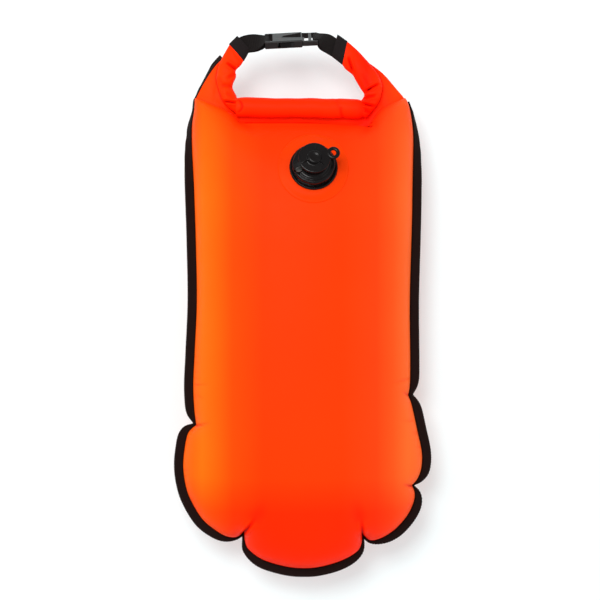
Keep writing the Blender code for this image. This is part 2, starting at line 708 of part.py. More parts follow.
def make_webbing(name, pivot, bar, sense, end, aim):
    """Webbing looped round a buckle bar, both plies running into the arm's band with a twist."""
    start_aim = ALONG * sense
    end_aim = -aim
    lead = BUCKLE_ORIGIN + ALONG * bar + start_aim * BAR_LEAD
    mouth = np.array((*chamber_place(end), HANDLE_Z)) + aim * BAND_LENGTH
    chord = float(np.linalg.norm(mouth - lead))
    band_wide = across_of(aim)
    if np.dot(band_wide, WIDE) < 0:
        band_wide = -band_wide
    route = ribbon_route(BAR_LEAD + chord + BAND_LENGTH - ARM_TUCK - GAP)
    rings = []
    tangents = path_tangents(np.array(route))
    for (a, b), tangent in zip(route, tangents):
        t = (a - BAR_LEAD) / chord
        twisted = min(max(t / 0.85, 0.0), 1.0)
        ease = twisted * twisted * (3 - 2 * twisted)
        if t <= 0:
            centre = lead + start_aim * (a - BAR_LEAD)
            heading = start_aim
        elif t >= 1:
            centre = mouth + end_aim * (t - 1) * chord
            heading = end_aim
        else:
            leave = chord * BAR_BEND
            arrive = chord * BAND_BEND
            h00 = 2 * t ** 3 - 3 * t ** 2 + 1
            h10 = t ** 3 - 2 * t ** 2 + t
            h01 = 3 * t ** 2 - 2 * t ** 3
            h11 = t ** 3 - t ** 2
            centre = h00 * lead + h10 * leave * start_aim + h01 * mouth + h11 * arrive * end_aim
            slope = ((6 * t ** 2 - 6 * t) * lead + (3 * t ** 2 - 4 * t + 1) * leave * start_aim
                     + (6 * t - 6 * t ** 2) * mouth + (3 * t ** 2 - 2 * t) * arrive * end_aim)
            heading = unit(slope)
        wide = unit((1 - ease) * WIDE + ease * band_wide)
        wide = unit(wide - heading * np.dot(wide, heading))
        up = np.cross(heading, wide) * sense
        skin = np.array([-tangent[1], tangent[0]]) * WEBBING_THICK / 2
        sides = np.linspace(-1, 1, WEBBING_ACROSS)
        row = centre + up * b + wide * sides[:, None] * WEBBING_WIDTH / 2
        wall = up * skin[1] + heading * skin[0]
        rings.append([*(row + wall), *(row[::-1] - wall)])
    return make_object(name, *loft(rings), BLACK, 0.85, pivot=pivot)


def add_box(target, low, high, operation="DIFFERENCE"):
    """Cuts a box from the target, or joins one to it, in the target's own frame."""
    tool = make_object(f"{target.name}_tool_{len(target.modifiers)}", *box_corners(low, high), SMOKE, 0.4,
                       parent=target.parent)
    hide_cutter(tool)
    cut(target, tool, operation)
    return tool


def prism(points, low, high):
    """Vertices and faces of an outline in X and Y, pulled up between two heights."""
    return loft([[(x, y, z) for x, y in points] for z in (low, high)])


def make_female(frame):
    """The socket half: webbing bar, hollow housing, side openings for the pads and the face window."""
    half = BUCKLE_WIDTH / 2
    deep = BUCKLE_THICK / 2
    hollow = deep - FEMALE_WALL
    side_wall = FEMALE_WALL + FIT / 2
    outline = box_corners((0, -half, -deep), (FEMALE_LENGTH, half, deep))
    female = make_object("buckle_female", *outline, SMOKE, 0.35, pivot=(FEMALE_BAR, 0, 0), parent=frame)
    edge = female.modifiers.new("edges", "BEVEL")
    edge.width = BUCKLE_EDGE
    edge.segments = 2
    slot_end = BAR_WIDTH + SLOT_WIDTH
    slot_half = WEBBING_WIDTH / 2 + 3 * FIT
    add_box(female, (BAR_WIDTH, -slot_half, -deep - OVERRUN), (slot_end, slot_half, deep + OVERRUN))
    for sign in (1, -1):
        heights = sorted((sign * BAR_THICK / 2, sign * (deep + OVERRUN)))
        add_box(female, (-OVERRUN, -slot_half, heights[0]), (slot_end, slot_half, heights[1]))
    add_box(female, (SOCKET_START, side_wall - half, -hollow), (FEMALE_LENGTH + OVERRUN, half - side_wall, hollow))
    pad_end = MALE_START - PRONG_LENGTH + PAD_LENGTH
    pad_start = MALE_START - PRONG_LENGTH - 2 * FIT
    for sign in (1, -1):
        sides = sorted((sign * (half - 2 * side_wall), sign * (half + OVERRUN)))
        add_box(female, (pad_start, sides[0], -hollow), (pad_end + FIT, sides[1], hollow))
    window = prism([(WINDOW_START, -WINDOW_HALF / 4), (FEMALE_LENGTH - FEMALE_WALL, -WINDOW_HALF),
                    (FEMALE_LENGTH - FEMALE_WALL, WINDOW_HALF), (WINDOW_START, WINDOW_HALF / 4)],
                   -deep - OVERRUN, deep + OVERRUN)
    cut(female, hide_cutter(make_object("buckle_window_tool", *window, SMOKE, 0.4, parent=frame)))
    return female


def make_male(frame, pivot_along):
    """The plug half: ladder frame with two slots, and the guide rail between the prongs."""
    half = BUCKLE_WIDTH / 2
    deep = MALE_THICK / 2
    outline = box_corners((MALE_START, -half, -deep), (MALE_START + MALE_LENGTH, half, deep))
    male = make_object("buckle_male", *outline, SMOKE, 0.35, pivot=(pivot_along, 0, 0), parent=frame)
    edge = male.modifiers.new("edges", "BEVEL")
    edge.width = BUCKLE_EDGE
    edge.segments = 2
    slot_half = WEBBING_WIDTH / 2 + 3 * FIT
    rear = MALE_START + MALE_LENGTH - BAR_WIDTH
    add_box(male, (rear - REAR_SLOT, -slot_half, -deep - OVERRUN), (rear, slot_half, deep + OVERRUN))
    front = MALE_START + FEMALE_WALL
    add_box(male, (front, -slot_half, -deep - OVERRUN), (front + FRONT_SLOT, slot_half, deep + OVERRUN))
    for sign in (1, -1):
        heights = sorted((sign * BAR_THICK / 2, sign * (deep + OVERRUN)))
        add_box(male, (rear - REAR_SLOT, -slot_half, heights[0]),
                (MALE_START + MALE_LENGTH + OVERRUN, slot_half, heights[1]))
    add_box(male, (MALE_START - PRONG_LENGTH, -RAIL_WIDTH / 2, -RAIL_THICK / 2),
            (front - FIT, RAIL_WIDTH / 2, RAIL_THICK / 2), "UNION")
    return male


def make_prong(name, frame, sign):
    """A sprung side arm with its thumb pad, which latches in the side opening of the socket."""
    half = BUCKLE_WIDTH / 2
    tip = MALE_START - PRONG_LENGTH
    shoulder = tip + PAD_LENGTH
    stem_out = PRONG_INNER + PRONG_WIDTH
    pad_out = half + PAD_PROUD
    points = [(PRONG_ROOT, PRONG_INNER), (PRONG_ROOT, stem_out), (shoulder + PRONG_WIDTH, stem_out),
              (shoulder, stem_out), (shoulder, pad_out - PAD_PROUD),
              (shoulder - PAD_LENGTH / 6, pad_out), (tip + PAD_LENGTH / 3, pad_out),
              (tip + PAD_LENGTH / 8, pad_out - PAD_PROUD), (tip, stem_out),
              (tip, PRONG_INNER + PRONG_WIDTH / 3), (shoulder, PRONG_INNER)]
    outline = [(x, sign * y) for x, y in points]
    place = (PRONG_ROOT, sign * (PRONG_INNER + PRONG_WIDTH / 2), 0)
    return make_object(name, *prism(outline, -PRONG_THICK / 2, PRONG_THICK / 2), SMOKE, 0.35,
                       pivot=place, parent=frame)


def front_skin(points):
    """Height of the front wall's sheet, flattened round the valve that is welded to it."""
    points = np.atleast_2d(np.array(points, float))
    lift = pillow_lift(points)
    centre, slope = valve_plane()
    flat = centre + (points - np.array((VALVE_X, VALVE_Y))) @ slope
    away = np.linalg.norm(points - np.array((VALVE_X, VALVE_Y)), axis=1)
    t = np.clip((away - FLANGE_RADIUS) / (PATCH_RADIUS - FLANGE_RADIUS), 0, 1)
    ease = t * t * (3 - 2 * t)
    return flat * (1 - ease) + lift * ease


def valve_plane():
    """Height and slope of the front wall where the valve sits."""
    span = FLANGE_RADIUS / 2
    spots = np.array([(VALVE_X, VALVE_Y), (VALVE_X + span, VALVE_Y), (VALVE_X - span, VALVE_Y),
                      (VALVE_X, VALVE_Y + span), (VALVE_X, VALVE_Y - span)])
    lift = pillow_lift(spots)
    slope = np.array([lift[1] - lift[2], lift[3] - lift[4]]) / (2 * span)
    return float(lift[0]), slope


VALVE_LIFT, VALVE_SLOPE = valve_plane()
VALVE_AXIS = unit((-VALVE_SLOPE[0], -VALVE_SLOPE[1], 1.0))
VALVE_ORIGIN = np.array((VALVE_X, VALVE_Y, SEAM_Z + GAP / 2 + VALVE_LIFT))
VALVE_TURN = Vector((0, 0, 1)).rotation_difference(Vector(VALVE_AXIS)).to_matrix()


def make_valve_base(frame):
    """The welded flange with its threaded neck and the low collar that the gasket seals on."""
    collar = NECK_RADIUS + 0.6 * FLANGE_THICK
    profile = [(NECK_BORE, FLANGE_LOW - NECK_DEPTH), (NECK_RADIUS, FLANGE_LOW - NECK_DEPTH),
               (NECK_RADIUS, FLANGE_LOW), (FLANGE_RADIUS - FLANGE_THICK / 4, FLANGE_LOW),
               (FLANGE_RADIUS, FLANGE_LOW + FLANGE_THICK / 3), (FLANGE_RADIUS - FLANGE_THICK / 3, FLANGE_TOP),
               (collar, FLANGE_TOP), (collar, COLLAR_TOP), (NECK_BORE, COLLAR_TOP)]
    return make_object("valve_base", *turn_profile(profile, VALVE_SIDES), BLACK, 0.4, parent=frame)


def make_gasket(frame):
    """The sealing ring between the base's collar and the screw-in body."""
    inner = NECK_BORE + 2 * FIT
    outer = NECK_RADIUS + 0.5 * FLANGE_THICK
    profile = [(inner, GASKET_LOW), (outer, GASKET_LOW), (outer, GASKET_TOP), (inner, GASKET_TOP)]
    return make_object("valve_gasket", *turn_profile(profile, VALVE_SIDES), SMOKE, 0.8, parent=frame)


def make_valve_body(frame):
    """The screw-in body: threaded neck, gripped skirt, shoulder and crown round the air bore."""
    neck = NECK_BORE - FIT
    skirt_in = SKIRT_RADIUS - SKIRT_WALL
    skirt_low = FLANGE_TOP + 2 * GAP
    profile = [(AIR_BORE, SEAT_LOW), (neck, SEAT_LOW), (neck, LID_LOW), (skirt_in, LID_LOW),
               (skirt_in, skirt_low), (SKIRT_RADIUS, skirt_low), (SKIRT_RADIUS, SHOULDER_TOP - BUCKLE_EDGE),
               (SKIRT_RADIUS - BUCKLE_EDGE, SHOULDER_TOP), (CROWN_FOOT, SHOULDER_TOP),
               (CROWN_FOOT + CROWN_FLARE, CROWN_TOP), (AIR_BORE, CROWN_TOP)]
    vertices, faces = turn_profile(profile, VALVE_SIDES)
    shaped = []
    for x, y, z in vertices:
        radius = math.hypot(x, y)
        grip = 1.0
        if radius > SKIRT_RADIUS - BUCKLE_EDGE / 2:
            grip += GRIP_DEPTH / SKIRT_RADIUS * math.cos(GRIPS * math.atan2(y, x))
        shaped.append((x * grip, y * grip, z))
    return make_object("valve_body", shaped, faces, BLACK, 0.35, parent=frame)


def make_flap(frame):
    """The silicone disc that closes the air bore from below, on its stem."""
    high = SEAT_LOW - GAP
    profile = [(STEM_RADIUS + FIT, high - FLAP_WALL), (FLAP_RADIUS, high - FLAP_WALL), (FLAP_RADIUS, high),
               (STEM_RADIUS + FIT, high)]
    return make_object("valve_flap", *turn_profile(profile, VALVE_SIDES // 2), FILM, 0.5,
                       pivot=(0, 0, high), parent=frame)


def make_stem(frame):
    """The bridge across the air bore and the peg that keeps the flap in the middle."""
    head_high = SEAT_LOW - GAP - FLAP_WALL - FLAP_TRAVEL - 2 * GAP
    profile = [(STEM_RADIUS * 1.8, head_high - STEM_RADIUS), (STEM_RADIUS * 1.8, head_high),
               (STEM_RADIUS, head_high), (STEM_RADIUS, SEAT_LOW + STEM_RADIUS)]
    stem = make_object("valve_stem", *turn_solid(profile, 12), FILM, 0.4, parent=frame)
    reach = AIR_BORE - GAP
    add_box(stem, (-reach, -STEM_RADIUS / 2, SEAT_LOW + GAP), (reach, STEM_RADIUS / 2, SEAT_LOW + 2 * STEM_RADIUS),
            "UNION")
    return stem


def make_cap(frame):
    """The cap: disc with a plug below, a boss and three ribs on top, and its pull loop."""
    hinge = (HINGE_OUT * math.cos(HINGE_SIDE), HINGE_OUT * math.sin(HINGE_SIDE), CROWN_TOP)
    plug = AIR_BORE - 1.5 * FIT
    profile = [(plug, CROWN_TOP - PLUG_DEPTH), (plug, CAP_LOW), (CAP_RADIUS, CAP_LOW),
               (CAP_RADIUS, CAP_TOP - CAP_THICK / 3), (CAP_RADIUS - CAP_THICK / 3, CAP_TOP),
               (CAP_BOSS_RADIUS, CAP_TOP), (CAP_BOSS_RADIUS - CAP_THICK / 4, CAP_TOP + CAP_BOSS_HEIGHT),
               (CAP_BOSS_RADIUS / 2, CAP_TOP + CAP_BOSS_HEIGHT + CAP_THICK / 4)]
    cap = make_object("valve_cap", *turn_solid(profile, VALVE_SIDES), BLACK, 0.35, pivot=hinge, parent=frame)
    for turn in (0, 120, 240):
        angle = HINGE_SIDE + math.radians(turn)
        rib = make_object(f"cap_rib_tool_{turn}", *box_corners(
            (CAP_BOSS_RADIUS - CAP_THICK, -RIB_WIDTH / 2, CAP_TOP - CAP_THICK / 2),
            (CAP_RADIUS - CAP_THICK, RIB_WIDTH / 2, CAP_TOP + RIB_WIDTH)), SMOKE, 0.4, parent=frame)
        rib.rotation_euler = (0, 0, angle)
        hide_cutter(rib)
        cut(cap, rib, "UNION")
    loop_out = CAP_RADIUS + LOOP_RADIUS
    rings = []
    for k in range(16):
        around = 2 * math.pi * k / 16
        centre = np.array((loop_out + LOOP_RADIUS * math.cos(around), LOOP_RADIUS * math.sin(around),
                           CAP_LOW + LOOP_WIRE * 0.9))
        out = np.array((math.cos(around), math.sin(around), 0))
        rings.append([tuple(centre + LOOP_WIRE * 0.9 * (out * math.cos(t) + np.array([0, 0, math.sin(t)])))
                      for t in np.linspace(0, 2 * math.pi, 8, endpoint=False) + math.pi / 8])
    loop = make_object("cap_loop_tool", *loft(rings, closed=True), SMOKE, 0.4, parent=frame)
    loop.rotation_euler = (0, 0, HINGE_TURN)
    hide_cutter(loop)
    cut(cap, loop, "UNION")
    return cap


def make_peg(frame):
    """The mushroom peg on the shoulder that holds the eye of the cap's strap."""
    low = SHOULDER_TOP + GAP
    neck = KNOB_RADIUS * 0.55
    profile = [(neck, low), (neck, low + KNOB_RADIUS * 0.7), (KNOB_RADIUS, low + KNOB_RADIUS * 0.7 + GAP),
               (KNOB_RADIUS, low + KNOB_RADIUS * 1.1), (KNOB_RADIUS * 0.5, low + KNOB_RADIUS * 1.4)]
    peg = make_object("strap_peg", *turn_solid(profile, 14), BLACK, 0.35, parent=frame)
    peg.location = (PEG_OUT * math.cos(HINGE_SIDE), PEG_OUT * math.sin(HINGE_SIDE), 0)
    return peg


def make_strap(frame):
    """The soft strap from the eye on the peg up to the cap's edge."""
    eye_low = SHOULDER_TOP + GAP + FIT
    eye_in = KNOB_RADIUS * 0.55 + FIT
    eye_out = KNOB_RADIUS + FIT
    profile = [(eye_in, eye_low), (eye_out, eye_low), (eye_out, eye_low + STRAP_THICK), (eye_in, eye_low + STRAP_THICK)]
    strap = make_object("cap_strap", *turn_profile(profile, 14), BLACK, 0.45, parent=frame)
    strap.location = (PEG_OUT * math.cos(HINGE_SIDE), PEG_OUT * math.sin(HINGE_SIDE), 0)
    top = CAP_LOW + CAP_THICK / 2
    start = PEG_OUT + eye_in + STRAP_THICK
    route = [(start, eye_low + STRAP_THICK / 2), (start + STRAP_WIDTH / 2, eye_low + STRAP_THICK),
             (start + STRAP_WIDTH / 2, (eye_low + top) / 2), (start - STRAP_WIDTH / 6, top - STRAP_THICK),
             (CAP_RADIUS + GAP, top)]
    curve = smooth_curve(route, STRAP_WIDTH / 2)
    tangents = path_tangents(curve)
    rings = []
    for (r, z), tangent in zip(curve, tangents):
        skin = np.array((-tangent[1], tangent[0])) * STRAP_THICK / 2
        rings.append([(r + skin[0], -STRAP_WIDTH / 2, z + skin[1]), (r + skin[0], STRAP_WIDTH / 2, z + skin[1]),
                      (r - skin[0], STRAP_WIDTH / 2, z - skin[1]), (r - skin[0], -STRAP_WIDTH / 2, z - skin[1])])
    tongue = make_object("cap_strap_tool", *loft(rings), SMOKE, 0.4, parent=frame)
    tongue.rotation_euler = (0, 0, HINGE_SIDE)
    hide_cutter(tongue)
    cut(strap, tongue, "UNION")
    return strap


def make_patch():
    """The round reinforcement welded to the front wall under the valve's flange."""
    spots = [circle_points(radius, PATCH_SIDES) for radius in (NECK_RADIUS + FIT, *patch_radii())]
    vertices = []
    faces = []
    for level in (PATCH_LOW, PATCH_LOW + PATCH_WALL):
        for number, ring in enumerate(spots):
            slack = max(number - 1, 0) * 2 * GAP
            sheet = np.column_stack([ring, SEAM_Z + GAP / 2 + front_skin(ring)])
            vertices.extend(sheet + VALVE_AXIS * (level + slack))
    count = len(spots)
    for level in range(2):
        for r in range(count - 1):
            base = (level * count + r) * PATCH_SIDES
            for k in range(PATCH_SIDES):
                j = (k + 1) % PATCH_SIDES
                faces.append((base + k, base + j, base + PATCH_SIDES + j, base + PATCH_SIDES + k))
    for r in (0, count - 1):
        low = r * PATCH_SIDES
        high = (count + r) * PATCH_SIDES
        for k in range(PATCH_SIDES):
            j = (k + 1) % PATCH_SIDES
            faces.append((low + k, low + j, high + j, high + k))
    return make_object("valve_patch", vertices, faces, ORANGE, 0.4)


def make_frame_empty(name, place, turn):
    """An empty that carries a group's pieces, placed and turned as a whole."""
    empty = bpy.data.objects.new(name, None)
    empty.location = place
    empty.rotation_euler = Matrix(turn).to_euler()
    bpy.context.collection.objects.link(empty)
    return empty


def build():
    """All the pieces of the buoy."""
    front = make_panel("front_panel", 1)
    make_panel("back_panel", -1)
    make_liner()
    make_binding()
    make_web("left")
    make_web("right")
    make_roll()
    make_stiffener()

    make_arm("left_arm", LEFT_PIVOT, LEFT_ROUTE_SHARES, LEFT_END_SHARE, LEFT_END_AIM)
    make_arm("right_arm", RIGHT_PIVOT, RIGHT_ROUTE_SHARES, RIGHT_END_SHARE, RIGHT_END_AIM)
    make_band("left_end_band", LEFT_PIVOT, LEFT_END_SHARE, LEFT_END_AIM)
    make_band("right_end_band", RIGHT_PIVOT, RIGHT_END_SHARE, RIGHT_END_AIM)
    make_webbing("left_webbing", LEFT_PIVOT, FEMALE_BAR, -1, LEFT_END_SHARE, LEFT_END_AIM)
    make_webbing("right_webbing", RIGHT_PIVOT, MALE_BAR, 1, RIGHT_END_SHARE, RIGHT_END_AIM)

    buckle = make_frame_empty("buckle_frame", BUCKLE_ORIGIN, BUCKLE_TURN)
    female_place = BUCKLE_ORIGIN + ALONG * FEMALE_BAR
    reach = float(np.dot(female_place - np.array(LEFT_PIVOT), ALONG))
    male_pivot_along = FEMALE_BAR + ARM_SPREAD - 2 * reach
    make_female(buckle)
    make_male(buckle, male_pivot_along)
    make_prong("upper_prong", buckle, 1)
    make_prong("lower_prong", buckle, -1)

    valve = make_frame_empty("valve_frame", VALVE_ORIGIN, VALVE_TURN)
    make_patch()
    hole = make_object("valve_hole_tool", *turn_solid(
        [(NECK_RADIUS + FIT, -NECK_DEPTH), (NECK_RADIUS + FIT, NECK_DEPTH)], PATCH_SIDES), SMOKE, 0.4, parent=valve)
    hide_cutter(hole)
    cut(front, hole)
    make_valve_base(valve)
    make_gasket(valve)
    make_valve_body(valve)
    make_flap(valve)
    make_stem(valve)
    make_cap(valve)
    make_peg(valve)
    make_strap(valve)


build()
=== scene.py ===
# %% [markdown]
# # An open water swim buoy
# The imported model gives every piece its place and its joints. This lesson dresses it: the inflated
# walls, the tape round the seam, the rolled mouth, the handle, the buckle and the valve. Every shape
# is a formula on a grid, so each one can be read, changed and made again.

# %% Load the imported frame
import json
import math

import bpy
import numpy as np
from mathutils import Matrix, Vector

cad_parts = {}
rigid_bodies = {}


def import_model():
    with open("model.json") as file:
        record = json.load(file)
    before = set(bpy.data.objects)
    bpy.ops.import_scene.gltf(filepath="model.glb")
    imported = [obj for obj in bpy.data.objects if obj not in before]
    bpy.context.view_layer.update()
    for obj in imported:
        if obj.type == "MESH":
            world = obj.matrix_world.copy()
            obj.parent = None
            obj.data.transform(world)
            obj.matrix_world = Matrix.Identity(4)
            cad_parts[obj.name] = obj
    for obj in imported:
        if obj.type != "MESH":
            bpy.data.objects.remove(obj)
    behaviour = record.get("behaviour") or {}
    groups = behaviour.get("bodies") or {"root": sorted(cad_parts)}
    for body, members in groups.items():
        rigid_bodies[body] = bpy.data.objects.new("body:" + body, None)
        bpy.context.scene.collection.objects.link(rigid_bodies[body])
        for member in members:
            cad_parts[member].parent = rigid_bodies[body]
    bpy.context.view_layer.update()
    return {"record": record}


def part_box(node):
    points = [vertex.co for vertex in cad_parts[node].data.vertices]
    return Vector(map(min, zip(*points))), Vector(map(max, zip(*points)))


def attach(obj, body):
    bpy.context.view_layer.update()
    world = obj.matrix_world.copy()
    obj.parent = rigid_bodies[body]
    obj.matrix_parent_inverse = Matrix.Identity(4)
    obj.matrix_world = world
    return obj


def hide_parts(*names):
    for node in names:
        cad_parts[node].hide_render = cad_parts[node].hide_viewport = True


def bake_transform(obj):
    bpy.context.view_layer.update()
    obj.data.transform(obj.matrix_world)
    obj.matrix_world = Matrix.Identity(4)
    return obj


for old in list(bpy.data.objects):
    bpy.data.objects.remove(old, do_unlink=True)

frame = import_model()

# %% [markdown]
# ## Where things are
# The seam lies in one level plane, halfway up the inflated bag. The corner webs lie in it, so their
# box gives its height. The joints give the middle line of the handle and the axis of the valve.

# %% Sizes that come from the frame
JOINTS = {joint["name"]: joint for joint in frame["record"]["behaviour"]["joints"]}


def box(node):
    """Lowest and highest corner of a CAD node, as arrays."""
    low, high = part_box(node)
    return np.array(low, float), np.array(high, float)


WEB_LOW, WEB_HIGH = box("left_corner_web")
SEAM_Z = (WEB_LOW[2] + WEB_HIGH[2]) / 2
LEFT_PIVOT = np.array(JOINTS["handle_left"]["pos_m"])
RIGHT_PIVOT = np.array(JOINTS["handle_right"]["pos_m"])
HANDLE_Z = LEFT_PIVOT[2]
VALVE_AXIS = np.array(JOINTS["valve_turn"]["axis"])
VALVE_ORIGIN = np.array(JOINTS["valve_turn"]["pos_m"])
print("seam height", round(SEAM_Z, 4), "handle height", round(HANDLE_Z, 4))

# %% [markdown]
# ## The camera
# The photograph is taken straight from above, from about two metres. A place seen in it is turned
# into metres with one scale at the seam's height, and pulled in a little where it lies higher.

# %% Camera and the photograph's scale
PIXEL = 0.00118
PHOTO_CENTRE = (302.5, 304.0)
CAMERA_DISTANCE = 2.0
CAMERA_XY = np.array((-0.00295, 0.00472))
PHOTO_WIDTH = 600


def photo_places(pixels, rise):
    """X and Y of pixels of the photograph, for points that lie rise metres above the seam."""
    flat = (np.asarray(pixels, float) - PHOTO_CENTRE) * (PIXEL, -PIXEL)
    return CAMERA_XY + (flat - CAMERA_XY) * (CAMERA_DISTANCE - rise) / CAMERA_DISTANCE


camera_data = bpy.data.cameras.new("camera")
camera_data.sensor_width = 36.0
camera_data.lens = camera_data.sensor_width * CAMERA_DISTANCE / (PHOTO_WIDTH * PIXEL)
camera_data.clip_end = 20.0
camera = bpy.data.objects.new("camera", camera_data)
camera.location = (*CAMERA_XY, SEAM_Z + CAMERA_DISTANCE)
bpy.context.scene.collection.objects.link(camera)
bpy.context.scene.camera = camera
print("lens", round(camera_data.lens, 1))

# %% [markdown]
# ## Meshes from grids
# A surface is an array of points in rows and columns, and its faces join neighbours. Each piece is
# made at the origin with its place in its mesh. Most pieces ride on one body of the frame; soft ones
# that span a joint ride on none. Every mesh is closed, so the sign of the volume inside it
# tells whether its faces look out, and all of them are turned when they don't.

# %% Helpers that turn arrays into pieces
def grid_faces(rows, columns, close_rows=False, close_columns=False):
    """Corner numbers of the quads of a grid; a closed direction joins its last line to its first."""
    row = np.arange(rows if close_rows else rows - 1)
    column = np.arange(columns if close_columns else columns - 1)
    r, c = np.meshgrid(row, column, indexing="ij")
    r2 = (r + 1) % rows
    c2 = (c + 1) % columns
    quads = np.stack([r * columns + c, r * columns + c2, r2 * columns + c2, r2 * columns + c], axis=-1)
    return quads.reshape(-1, 4)


def ring_faces(grid):
    """The quads of a grid that is closed both ways, as a ring's skin is."""
    return grid_faces(*grid.shape[:2], close_rows=True, close_columns=True)


SHARP_TURN = math.radians(100)


def enclosed_volume(points, faces):
    """The volume inside a closed mesh, positive where its faces point out: a sum of signed tetrahedra."""
    total = 0.0
    for face in faces:
        corner = points[face]
        for k in range(1, face.shape[1] - 1):
            total += np.sum(corner[:, 0] * np.cross(corner[:, k], corner[:, k + 1])) / 6
    return total


def open_edges(faces, count):
    """Directed edges that no other face uses the other way round."""
    edges = np.concatenate([np.stack([face, np.roll(face, -1, axis=1)], axis=-1).reshape(-1, 2)
                            for face in faces])
    return edges[~np.isin(edges[:, 0] * count + edges[:, 1], edges[:, 1] * count + edges[:, 0])]


def new_piece(name, points, faces, material, body, uv=None, fold=None, replaces=()):
    """A smooth closed mesh from points and faces, turned to face outwards, with a UV and a fold depth for
    painted shade.
    """
    points = np.asarray(points, float).reshape(-1, 3)
    if enclosed_volume(points, faces) < 0:
        faces = [face[:, ::-1] for face in faces]
    corners = np.concatenate([np.asarray(f).ravel() for f in faces])
    sizes = np.concatenate([np.full(len(f), np.asarray(f).shape[1]) for f in faces])
    starts = np.concatenate([[0], np.cumsum(sizes)[:-1]])
    mesh = bpy.data.meshes.new(name)
    mesh.vertices.add(len(points))
    mesh.vertices.foreach_set("co", points.astype(np.float32).ravel())
    mesh.loops.add(len(corners))
    mesh.loops.foreach_set("vertex_index", corners.astype(np.int32))
    mesh.polygons.add(len(sizes))
    mesh.polygons.foreach_set("loop_start", starts.astype(np.int32))
    mesh.update(calc_edges=True)
    if uv is not None:
        layer = mesh.uv_layers.new(name="UVMap")
        layer.data.foreach_set("uv", np.asarray(uv, np.float32).reshape(-1, 2)[corners].ravel())
    if fold is not None:
        depth = mesh.attributes.new("fold", "FLOAT", "POINT")
        depth.data.foreach_set("value", np.asarray(fold, np.float32).ravel())
    mesh.validate()
    mesh.shade_smooth()
    mesh.set_sharp_from_angle(angle=SHARP_TURN)
    mesh.materials.append(material)
    piece = bpy.data.objects.new(name, mesh)
    bpy.context.scene.collection.objects.link(piece)
    if body:
        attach(piece, body)
    if replaces:
        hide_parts(*replaces)
    print(name, len(mesh.polygons), "faces", len(open_edges(faces, len(points))), "open edges")
    return piece


def smooth_step(t):
    """0 below 0, 1 above 1, and an even S between."""
    t = np.clip(t, 0, 1)
    return t * t * (3 - 2 * t)


def unit(vector):
    """Vectors along the last axis, cut to length one."""
    vector = np.asarray(vector, float)
    return vector / np.linalg.norm(vector, axis=-1, keepdims=True)


def walked(line):
    """The distance from the start of a line to each of its points."""
    return np.concatenate([[0], np.cumsum(np.linalg.norm(np.diff(line, axis=0), axis=1))])


def smooth_curve(points, count):
    """Points evenly spaced along a Catmull-Rom curve, which passes through every given point."""
    given = np.asarray(points, float)
    padded = np.vstack([2 * given[0] - given[1], given, 2 * given[-1] - given[-2]])
    t = np.linspace(0, 1, 24, endpoint=False)[:, None, None]
    p0, p1, p2, p3 = padded[:-3], padded[1:-2], padded[2:-1], padded[3:]
    spans = 0.5 * (2 * p1 + (p2 - p0) * t + (2 * p0 - 5 * p1 + 4 * p2 - p3) * t ** 2
                   + (3 * p1 - p0 - 3 * p2 + p3) * t ** 3)
    dense = np.vstack([spans.transpose(1, 0, 2).reshape(-1, given.shape[1]), given[-1]])
    return even_points(dense, count)


def even_points(line, count):
    """The same line walked in equal steps."""
    reach = walked(line)
    wanted = np.linspace(0, reach[-1], count)
    return np.column_stack([np.interp(wanted, reach, line[:, k]) for k in range(line.shape[1])])


def waves(x, seed, length, terms=6):
    """A smooth wandering curve between about -1 and 1: a few sines whose phases come from a seed."""
    rng = np.random.default_rng(seed)
    total = np.zeros_like(np.asarray(x, float))
    weight = 0.0
    for k in range(terms):
        share = 0.75 ** k
        total += share * np.sin(2 * np.pi * (np.asarray(x) / length * (0.7 + k * 0.6))
                                + rng.uniform(0, 2 * np.pi))
        weight += share
    return total / weight * 1.6
